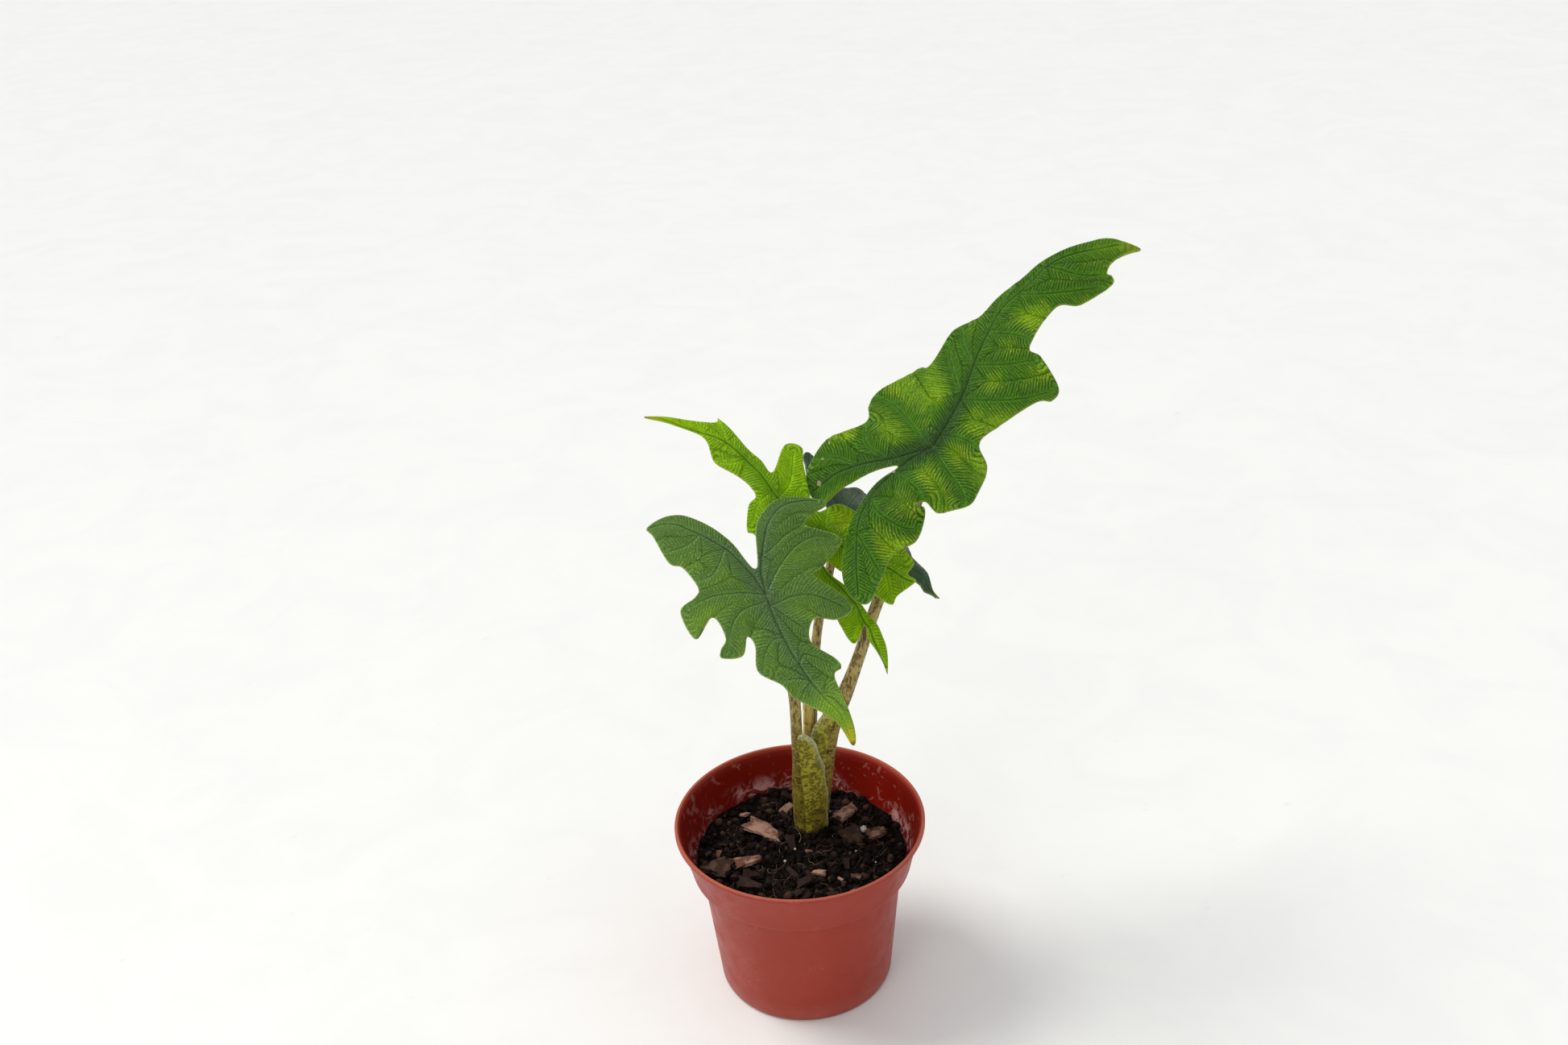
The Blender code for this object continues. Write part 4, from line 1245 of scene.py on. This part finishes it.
LEAVES["c"] = {
    "joint": (5.9, 23, 234.2),
    "normal": (0.17, -0.74, 0.65),
    "heading": (-0.783, 0.299, 0.545),
    "outline": [
        (86, -2, -4), (60, -18, -3), (58, -22, -4), (41, -18, -2), (32, -17, -2),
        (24, -15, -1), (27, -31, -7), (20, -35, -7), (14, -27, -4), (-2, -12, 0),
        (-11, -23, -4), (-40, -22, -1), (-52, -20, -3), (-53, -14, -4), (-58, -14, -6),
        (-55, -4, -8), (-55, 1, -9), (-45, 3, -6), (-26, 4, -3), (-17, 5, 0),
        (-22, 8, 0), (-42, 11, -1), (-62, 19, -3), (-71, 29, -7), (-65, 25, -7),
        (-54, 21, -6), (-50, 18, -5), (-51, 26, -9), (-40, 23, -7), (-20, 15, -4),
        (-10, 12, -3),
        (1, 15, -4), (14, 12, -8), (18, 12, -9), (24, 3, -5), (24, -2, -3),
        (33, -5, -5), (48, -5, -8), (61, -10, -3),
    ],
    "ribs": [
        [(0, 0, 0), (15, -6, 1), (29, -11, 1), (42, -13, 1), (54, -13, 0), (77, -6, -2)],
        [(-10, 5, 0), (-19, 8, 1), (-30, 11, 2), (-42, 14, 2), (-52, 18, 1)],
        [(-9, -2, 0), (-20, -5, 0), (-32, -7, 0), (-44, -10, -1), (-52, -11, -3)],
    ],
    "tips": [(84, -3), (-69, 27), (-57, -13)],
    "veins": [
        [(15, -6), (15, -16), (22, -31)],
        [(19, -8), (21, 0), (18, 9)],
        [(37, -13), (42, -8), (48, -6)],
        [(48, -13), (51, -15), (57, -20)],
        [(-16, -5), (-9, -9), (-6, -16)],
        [(-42, 14), (-47, 18), (-50, 24)],
        [(-37, -8), (-39, -13), (-47, -19)],
        [(-42, -9), (-47, -6), (-54, -1)],
        [(60, -12), (64, -12), (70, -10)],
        [(8, -3), (7, -8), (6, -15)],
    ],
    "scars": [],
}
LEAVES["d"] = {
    "joint": (27, 48, 228),
    "normal": (0.68, -0.15, 0.72),
    "heading": (0.706, -0.135, -0.695),
    "outline": [
        (67, 10, -5), (60, 10, -3), (50, 16, -2), (44, 18, -2), (32, 37, -5),
        (23, 31, -3), (20, 41, -5), (13, 42, -5), (5, 36, -3), (-4, 21, -1),
        (-10, 25, -2), (-19, 34, -4), (-24, 37, -6), (-25, 31, -7), (-19, 8, -4),
        (-7, -8, 0), (-9, -17, -3), (-10, -27, -6), (-7, -30, -8), (-1, -24, -8),
        (8, -8, -4), (23, -4, -7), (32, -3, -4), (42, 1, -5), (58, 6, -6),
    ],
    "ribs": [
        [(0, 0, 0), (11, 8, 1), (24, 10, 1), (38, 8, 0), (53, 8, -1)],
        [(-5, 5, 0), (-13, 13, -1), (-20, 25, -4)],
        [(-1, -8, 0), (-4, -18, -1), (-6, -25, -4)],
    ],
    "tips": [(65, 9), (-23, 35), (-8, -28)],
    "veins": [
        [(3, 3), (3, 13), (7, 32)],
        [(16, 10), (20, 21), (27, 33)],
        [(13, 9), (15, 3), (23, -2)],
        [(30, 9), (35, 18), (35, 30)],
    ],
    "scars": [],
}
print("leaves:", ", ".join(LEAVES))


# %% The bent sheet
def thin_plate(controls):
    """The smooth height field through control points (along, across, height)."""
    known = np.array(controls, float)
    plan = known[:, :2]
    count = len(plan)
    softness = 4.0

    def kernel(places):
        squares = ((places[:, None] - plan[None]) ** 2).sum(-1)
        return 0.5 * squares * np.log(squares + 1e-9)

    flat = np.c_[np.ones(count), plan]
    system = np.zeros((count + 3, count + 3))
    system[:count, :count] = kernel(plan) + softness * np.eye(count)
    system[:count, count:] = flat
    system[count:, :count] = flat.T
    weights = np.linalg.solve(system, np.r_[known[:, 2], 0, 0, 0])

    def height(places):
        plane = np.c_[np.ones(len(places)), places] @ weights[count:]
        return kernel(places) @ weights[:count] + plane

    return height


def smooth_margin(outline, spacing):
    """The closed margin through the outline's points, evenly spaced."""
    knots = np.array([corner[:2] for corner in outline], float)
    ring = np.vstack([knots[-2:], knots, knots[:2]])
    fine = through(ring, 40)[80 : 80 + 40 * len(knots)]
    legs = np.linalg.norm(np.roll(fine, -1, axis=0) - fine, axis=1)
    travelled = np.r_[0, np.cumsum(legs)]
    stops = np.linspace(0, travelled[-1], int(travelled[-1] / spacing), endpoint=False)
    closed = np.vstack([fine, fine[:1]])
    return np.c_[
        np.interp(stops, travelled, closed[:, 0]), np.interp(stops, travelled, closed[:, 1])
    ]


def leaf_placement(leaf):
    """The matrix from the leaf's own millimetres to the plant, in metres."""
    normal = Vector(leaf["normal"]).normalized()
    heading = Vector(leaf["heading"])
    heading = (heading - normal * heading.dot(normal)).normalized()
    turn = Matrix((heading, normal.cross(heading), normal)).transposed().to_4x4()
    return Matrix.Translation(Vector(leaf["joint"]) * MM) @ turn @ Matrix.Scale(MM, 4)


print("leaf shape helpers ready")

# %% [markdown]
# Relief is what tells a leaf from a cut-out. Above, veins are fine grooves and the web
# between them puffs up; beside every vein run close parallel ripples that meet in
# chevrons. Below, the ribs stand out as ridges. All of it follows from two numbers for
# each point, the distance to the nearest vein and the length along that vein, so the
# same numbers are stored for the colours as well.


# %% Relief and thickness
def step_between(low, high, values):
    """Zero below low, one above high, smooth in between."""
    t = np.clip((values - low) / (high - low), 0, 1)
    return t * t * (3 - 2 * t)


def vein_lines(leaf):
    """The three main ribs and the side veins as smooth flat lines."""
    joint = (0.0, 0.0)
    main = []
    for rib, tip in zip(leaf["ribs"], leaf["tips"]):
        line = [corner[:2] for corner in rib] + [tip]
        if line[0] != (0, 0):
            line = [joint] + line
        main.append(through(line, 6))
    return main, [through(vein, 6) for vein in leaf["veins"]]


def wobble(places, scale, seed):
    """Smooth noise at each place, from -1 to 1."""
    return np.array([noise.noise(Vector((x * scale, y * scale, seed))) for x, y in places])


def blade_fields(leaf, plan, margin):
    """What the relief and the colours need, one number per point of the plan."""
    main, side = vein_lines(leaf)
    gaps = []
    alongs = []
    for line in main + side:
        gap, along = distance_to_line(plan, line)
        gaps.append(gap)
        alongs.append(along)
    gaps = np.array(gaps)
    alongs = np.array(alongs)
    order = np.argsort(gaps, axis=0)
    columns = np.arange(len(plan))
    nearest = gaps[order[0], columns]
    second = gaps[order[1], columns]
    lengths = np.array([np.linalg.norm(np.diff(line, axis=0), axis=1).sum() for line in main])
    rank = gaps[: len(main)].argmin(0)
    share = alongs[rank, columns] / lengths[rank]
    closed = np.vstack([margin, margin[:1]])
    return {
        "main": gaps[: len(main)].min(0),
        "main_share": share,
        "side": gaps[len(main) :].min(0),
        "vein": nearest,
        "seam": second - nearest,
        "along": alongs[order[0], columns],
        "edge": distance_to_line(plan, closed)[0],
        "hub": np.linalg.norm(plan, axis=1),
    }


RIPPLE_EVERY = 2.5


def blade_relief(field, plan, strength):
    """Heights in millimetres added above, and the blade's thickness."""
    taper = 1 - 0.6 * field["main_share"]
    groove = 0.55 * taper * np.exp(-((field["main"] / (0.75 * taper)) ** 2))
    groove += 0.26 * np.exp(-((field["side"] / 0.5) ** 2)) * step_between(0.5, 3, field["edge"])
    rail = 0.22 * taper * np.exp(-(((field["main"] - 1.3 * taper) / 0.7) ** 2))
    puff = 1.75 * strength * (1 - np.exp(-field["vein"] / 3.6))
    puff -= 0.6 * strength * np.exp(-((field["seam"] / 1.6) ** 2)) * step_between(
        2, 6, field["vein"]
    )
    bent = field["along"] - 0.62 * field["vein"] + 0.9 * wobble(plan, 0.16, 3.0)
    ripples = np.sin(math.tau * bent / RIPPLE_EVERY)
    ripples *= step_between(0.5, 2.2, field["vein"]) * step_between(0.0, 2.0, field["seam"])
    patches = 0.55 + 0.45 * wobble(plan, 0.07, 9.0)
    ripples *= patches * step_between(0.2, 1.6, field["edge"])
    ruffle = wobble(plan, 0.085, 21.0) * np.exp(-field["edge"] / 4.5)
    quilting = 0.28 * wobble(plan, 0.42, 5.0) * step_between(0.4, 1.4, field["vein"])
    above = puff + rail + quilting * strength + 0.26 * strength**2 * ripples - groove
    above += 1.3 * ruffle
    above -= 0.3 * np.exp(-((field["hub"] / 1.0) ** 2))
    above *= step_between(-0.5, 0.6, field["edge"])
    thick = 0.22 + 0.36 * step_between(0.0, 1.2, field["edge"])
    thick += 1.5 * taper * np.exp(-((field["main"] / (1.1 * taper)) ** 2))
    thick += 0.45 * np.exp(-((field["side"] / 0.7) ** 2)) * step_between(0.5, 3, field["edge"])
    thick += 1.2 * np.exp(-((field["hub"] / 2.6) ** 2))
    return above, thick


def make_blade(letter, leaf, spacing, strength, material):
    margin = smooth_margin(leaf["outline"], spacing)
    plan, faces = fill_evenly(margin, spacing)
    field = blade_fields(leaf, plan, margin)
    ribs = [point for rib in leaf["ribs"] for point in rib]
    height = thin_plate(leaf["outline"] + ribs)(plan)
    above, thick = blade_relief(field, plan, strength)
    place = np.array(leaf_placement(leaf))
    top = np.c_[plan, height + above - 0.35]
    bottom = np.c_[plan, height + above - 0.35 - thick]
    both = np.vstack([top, bottom])
    points = both @ place[:3, :3].T + place[:3, 3]
    count = len(plan)
    everything = list(faces)
    everything += [(count + c, count + b, count + a) for a, b, c in faces]
    loop = edge_loop_of(faces)
    for i, corner in enumerate(loop):
        other = loop[(i + 1) % len(loop)]
        everything.append((other, corner, count + corner, count + other))
    blade = piece_from(f"blade_{letter}", points, everything, material)
    for name in ("main", "side", "vein", "seam", "along", "edge", "hub"):
        store(blade, name, np.r_[field[name], field[name]])
    store(blade, "under", np.r_[np.zeros(count), np.ones(count)])
    scar = np.zeros(count)
    for x, y, size in leaf["scars"]:
        away = np.hypot(plan[:, 0] - x, (plan[:, 1] - y) * 0.7)
        ragged = 0.35 * wobble(plan, 1.3, 2.0)
        scar = np.maximum(scar, 1 - step_between(0.5, 0.9, away / size + ragged))
    store(blade, "scar", np.r_[scar, scar])
    tip = np.array(leaf["outline"][0][:2])
    store(blade, "tip", np.tile(np.linalg.norm(plan - tip, axis=1), 2))
    return blade


print("blade maker ready")

# %% [markdown]
# Colour follows the relief. Next to the ribs the green is dark and bluish grey; away
# from them it warms, and halfway to the margin sunlit webs turn yellow-green in soft
# patches. Veins are thin dark lines, the margin is a pale thread, the tips yellow, and
# the underside is paler and dull. One node group does it for all four blades, and each
# blade's material feeds the group its own greens.


# %% Shared effect: leaf pattern
def build_leaf_pattern():
    group = bpy.data.node_groups.new("leaf_pattern", "ShaderNodeTree")
    for name in ("Deep", "Middle", "Light", "Vein", "Thread"):
        group.interface.new_socket(name, in_out="INPUT", socket_type="NodeSocketColor")
    for name in ("Warmth", "Seed", "Yellowing"):
        group.interface.new_socket(name, in_out="INPUT", socket_type="NodeSocketFloat")
    group.interface.new_socket("Colour", in_out="OUTPUT", socket_type="NodeSocketColor")
    group.interface.new_socket("Glow", in_out="OUTPUT", socket_type="NodeSocketColor")
    group.interface.new_socket("Height", in_out="OUTPUT", socket_type="NodeSocketFloat")
    group.interface.new_socket("Gloss", in_out="OUTPUT", socket_type="NodeSocketFloat")
    start = group.nodes.new("NodeGroupInput")
    end = group.nodes.new("NodeGroupOutput")
    source = start.outputs
    stored = ("main", "side", "vein", "seam", "along", "edge", "hub", "under", "scar", "tip")
    read = {name: read_stored(group, name) for name in stored}
    place = scaled_object_place(group)
    shift = add(group, "ShaderNodeVectorMath", {0: place, 1: source["Seed"]}).outputs[0]
    patches = clouds(group, shift, 0.055, 3, 0.5, 0.4)
    mottle = clouds(group, shift, 0.35, 4, 0.6)
    cells = add(group, "ShaderNodeTexVoronoi", {"Vector": shift, "Scale": 0.95})
    cells.feature = "DISTANCE_TO_EDGE"
    net = ramp(group, cells.outputs["Distance"], 0.0, 0.12, 1.0, 0.0)

    away = maths(group, "MULTIPLY_ADD", patches, 7.0, read["vein"])
    far_from_main = ramp(group, read["main"], 1.5, 15.0)
    warm = maths(group, "MULTIPLY", ramp(group, away, 4.5, 9.5), far_from_main)
    warm = maths(group, "MULTIPLY", warm, source["Warmth"])
    patchy = ramp(group, maths(group, "MULTIPLY_ADD", mottle, 0.60, patches), 0.61, 1.0)
    lit = maths(group, "MULTIPLY", ramp(group, read["vein"], 0.8, 6.0), patchy)
    lit = maths(group, "MULTIPLY", lit, ramp(group, read["main"], 3.0, 12.0))
    lit = maths(group, "MULTIPLY", lit, source["Warmth"])
    outwards = maths(group, "MULTIPLY_ADD", read["hub"], 0.13, read["main"])
    spread = maths(group, "MULTIPLY_ADD", patches, -5.0, outwards)
    colour = blend(group, ramp(group, spread, -2.0, 8.5), source["Deep"], source["Middle"])
    colour = blend(group, maths(group, "MULTIPLY", warm, 0.7), colour, source["Middle"])
    colour = blend(group, lit, colour, source["Light"])
    tone = maths(group, "MULTIPLY", ramp(group, mottle, 0.42, 0.64), 0.38)
    colour = blend(group, tone, colour, source["Deep"])
    bent = maths(group, "MULTIPLY_ADD", read["vein"], -0.62, read["along"])
    bent = maths(group, "MULTIPLY_ADD", mottle, 1.8, bent)
    wave = maths(group, "SINE", maths(group, "MULTIPLY", bent, math.tau / 1.45))
    lines = maths(group, "MULTIPLY", ramp(group, wave, 0.0, 0.95), 0.80)
    lines = maths(group, "MULTIPLY", lines, ramp(group, read["vein"], 0.3, 1.6))
    lines = maths(group, "MULTIPLY", lines, ramp(group, read["vein"], 5.0, 9.0, 1.0, 0.4))
    lines = maths(group, "MULTIPLY", lines, source["Warmth"])
    colour = blend(group, lines, colour, source["Vein"])
    colour = blend(group, maths(group, "MULTIPLY", net, 0.45), colour, source["Vein"])

    rib_line = ramp(group, read["main"], 0.12, 0.55, 0.80, 0.0)
    side_line = ramp(group, read["side"], 0.10, 0.50, 0.75, 0.0)
    side_line = maths(group, "MULTIPLY", side_line, ramp(group, read["edge"], 0.5, 5.0))
    colour = blend(group, maths(group, "MAXIMUM", rib_line, side_line), colour, source["Vein"])
    thread = ramp(group, read["edge"], 0.15, 0.55, 1.0, 0.0)
    colour = blend(group, maths(group, "MULTIPLY", thread, 0.7), colour, source["Thread"])
    hub = ramp(group, read["hub"], 0.3, 1.3, 0.22, 0.0)
    colour = blend(group, hub, colour, source["Thread"])
    torn = ramp(group, read["scar"], 0.3, 0.7)
    colour = blend(group, torn, colour, srgb(205, 200, 150))
    bright = maths(group, "MULTIPLY_ADD", patches, 30.0, read["tip"])
    bright = maths(group, "MULTIPLY", ramp(group, bright, 20, 50, 0.65, 0), source["Yellowing"])
    colour = blend(group, bright, colour, source["Light"])
    yellow = ramp(group, maths(group, "MULTIPLY_ADD", mottle, 5.0, read["tip"]), 4, 14, 1, 0)
    yellow = maths(group, "MULTIPLY", yellow, source["Yellowing"])
    colour = blend(group, yellow, colour, srgb(214, 205, 20))
    burnt = ramp(group, maths(group, "MULTIPLY_ADD", mottle, 2.0, read["tip"]), 1.6, 3.6, 1, 0)
    burnt = maths(group, "MULTIPLY", burnt, source["Yellowing"])
    colour = blend(group, maths(group, "MULTIPLY", burnt, 0.8), colour, srgb(120, 78, 30))

    paler = blend(group, 0.45, colour, srgb(128, 155, 100))
    rib_below = ramp(group, read["main"], 0.6, 1.4, 0.8, 0.0)
    paler = blend(group, rib_below, paler, srgb(160, 170, 110))
    colour = blend(group, read["under"], colour, paler)
    glow = blend(group, 0.55, colour, source["Light"])
    glow = blend(group, rib_line, glow, source["Deep"])
    fine = maths(group, "MULTIPLY", wave, -0.75)
    fine = maths(group, "MULTIPLY", fine, ramp(group, read["vein"], 0.4, 1.8))
    relief = maths(group, "SUBTRACT", fine, maths(group, "MULTIPLY", net, 0.7))
    relief = maths(group, "MULTIPLY_ADD", mottle, 0.5, relief)
    gloss = ramp(group, clouds(group, shift, 0.13, 3), 0.3, 0.7, 0.34, 0.46)
    gloss = maths(group, "MULTIPLY_ADD", read["under"], 0.22, gloss)
    group.links.new(colour, end.inputs["Colour"])
    group.links.new(glow, end.inputs["Glow"])
    group.links.new(relief, end.inputs["Height"])
    group.links.new(gloss, end.inputs["Gloss"])
    return group


leaf_pattern = build_leaf_pattern()
print("leaf pattern:", len(leaf_pattern.nodes), "nodes")

# %% [markdown]
# A leaf is thin enough to pass light, so a share of translucent shader is mixed into
# the ordinary one. The young leaf at the back passes the most; it looks lit from inside.


# %% The four leaf materials
def leaf_material(name, greens, warmth, seed, yellowing, through_light):
    """greens: deep, middle, light, vein and margin thread."""
    made, tree, shader = new_material(name)
    group = add(tree, "ShaderNodeGroup", node_tree=leaf_pattern)
    for socket, green in zip(("Deep", "Middle", "Light", "Vein", "Thread"), greens):
        group.inputs[socket].default_value = (*green, 1)
    group.inputs["Warmth"].default_value = warmth
    group.inputs["Seed"].default_value = seed
    group.inputs["Yellowing"].default_value = yellowing
    finish_with(
        tree,
        shader,
        group.outputs["Colour"],
        group.outputs["Gloss"],
        group.outputs["Height"],
        0.34,
    )
    shader.inputs["Specular IOR Level"].default_value = 0.33
    sheer = add(tree, "ShaderNodeBsdfTranslucent", {"Color": group.outputs["Glow"]})
    mixed = add(tree, "ShaderNodeMixShader", {0: through_light})
    tree.links.new(shader.outputs[0], mixed.inputs[1])
    tree.links.new(sheer.outputs[0], mixed.inputs[2])
    output = next(node for node in tree.nodes if node.type == "OUTPUT_MATERIAL")
    tree.links.new(mixed.outputs[0], output.inputs["Surface"])
    return made


GREENS = {
    "a": [(62, 100, 44), (94, 158, 2), (190, 236, 0), (22, 46, 14), (165, 200, 84)],
    # Leaf b's deep green is paled to a grey green: partly its own colour, partly painted sheen
    # along the midrib and round the joint.
    "b": [(102, 134, 80), (112, 158, 54), (172, 218, 30), (38, 68, 38), (185, 212, 120)],
    # Leaf c's greens are raised far above the others: partly the young leaf's own lighter colour,
    # partly painted back-light shining through it.
    "c": [(94, 152, 2), (190, 240, 4), (222, 252, 20), (66, 118, 4), (222, 240, 110)],
    "d": [(54, 84, 56), (66, 104, 60), (100, 142, 60), (28, 50, 34), (150, 180, 115)],
}
# Each row: spacing of points in mm, strength of relief, warmth, seed, yellowing, sheen.
TRAITS = {
    "a": (0.55, 1.1, 1.0, 0.0, 0.25, 0.25),
    "b": (0.52, 0.75, 0.5, 70.0, 1.0, 0.22),
    "c": (0.55, 0.8, 1.0, 140.0, 0.9, 0.50),
    "d": (0.62, 0.7, 0.5, 210.0, 0.1, 0.18),
}
for letter, leaf in LEAVES.items():
    greens = [srgb(*green) for green in GREENS[letter]]
    spacing, strength, warmth, seed, yellowing, sheer = TRAITS[letter]
    skin = leaf_material(f"leaf_{letter}_green", greens, warmth, seed, yellowing, sheer)
    blade = make_blade(letter, leaf, spacing, strength, skin)
    hand_over(blade, f"leaf_green_{letter}", f"leaf_{letter}")

# %% [markdown]
# ## What stays as constructed
# The corm and the roots are buried in the mix, so these keep the construction's shape
# and only take a new finish.


# %% Finishes for the kept parts
def fleshy_skin(name, pale, brown):
    """Corky skin with rings round it."""
    made, tree, shader = new_material(name)
    place = scaled_object_place(tree, (0.3, 0.3, 1.5))
    rings = clouds(tree, place, 0.8, 4)
    colour = blend(tree, ramp(tree, rings, 0.35, 0.65), pale, brown)
    finish_with(tree, shader, colour, None, rings, 0.3)
    shader.inputs["Roughness"].default_value = 0.7
    return made


corm_skin = fleshy_skin("corm_cork", srgb(150, 118, 80), srgb(84, 58, 38))
root_skin = fleshy_skin("root_cork", srgb(205, 190, 160), srgb(150, 120, 86))
for name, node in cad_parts.items():
    if name == "corm":
        node.data.materials[0] = corm_skin
    elif name.startswith("root_"):
        node.data.materials[0] = root_skin
print("kept as constructed: corm and roots")
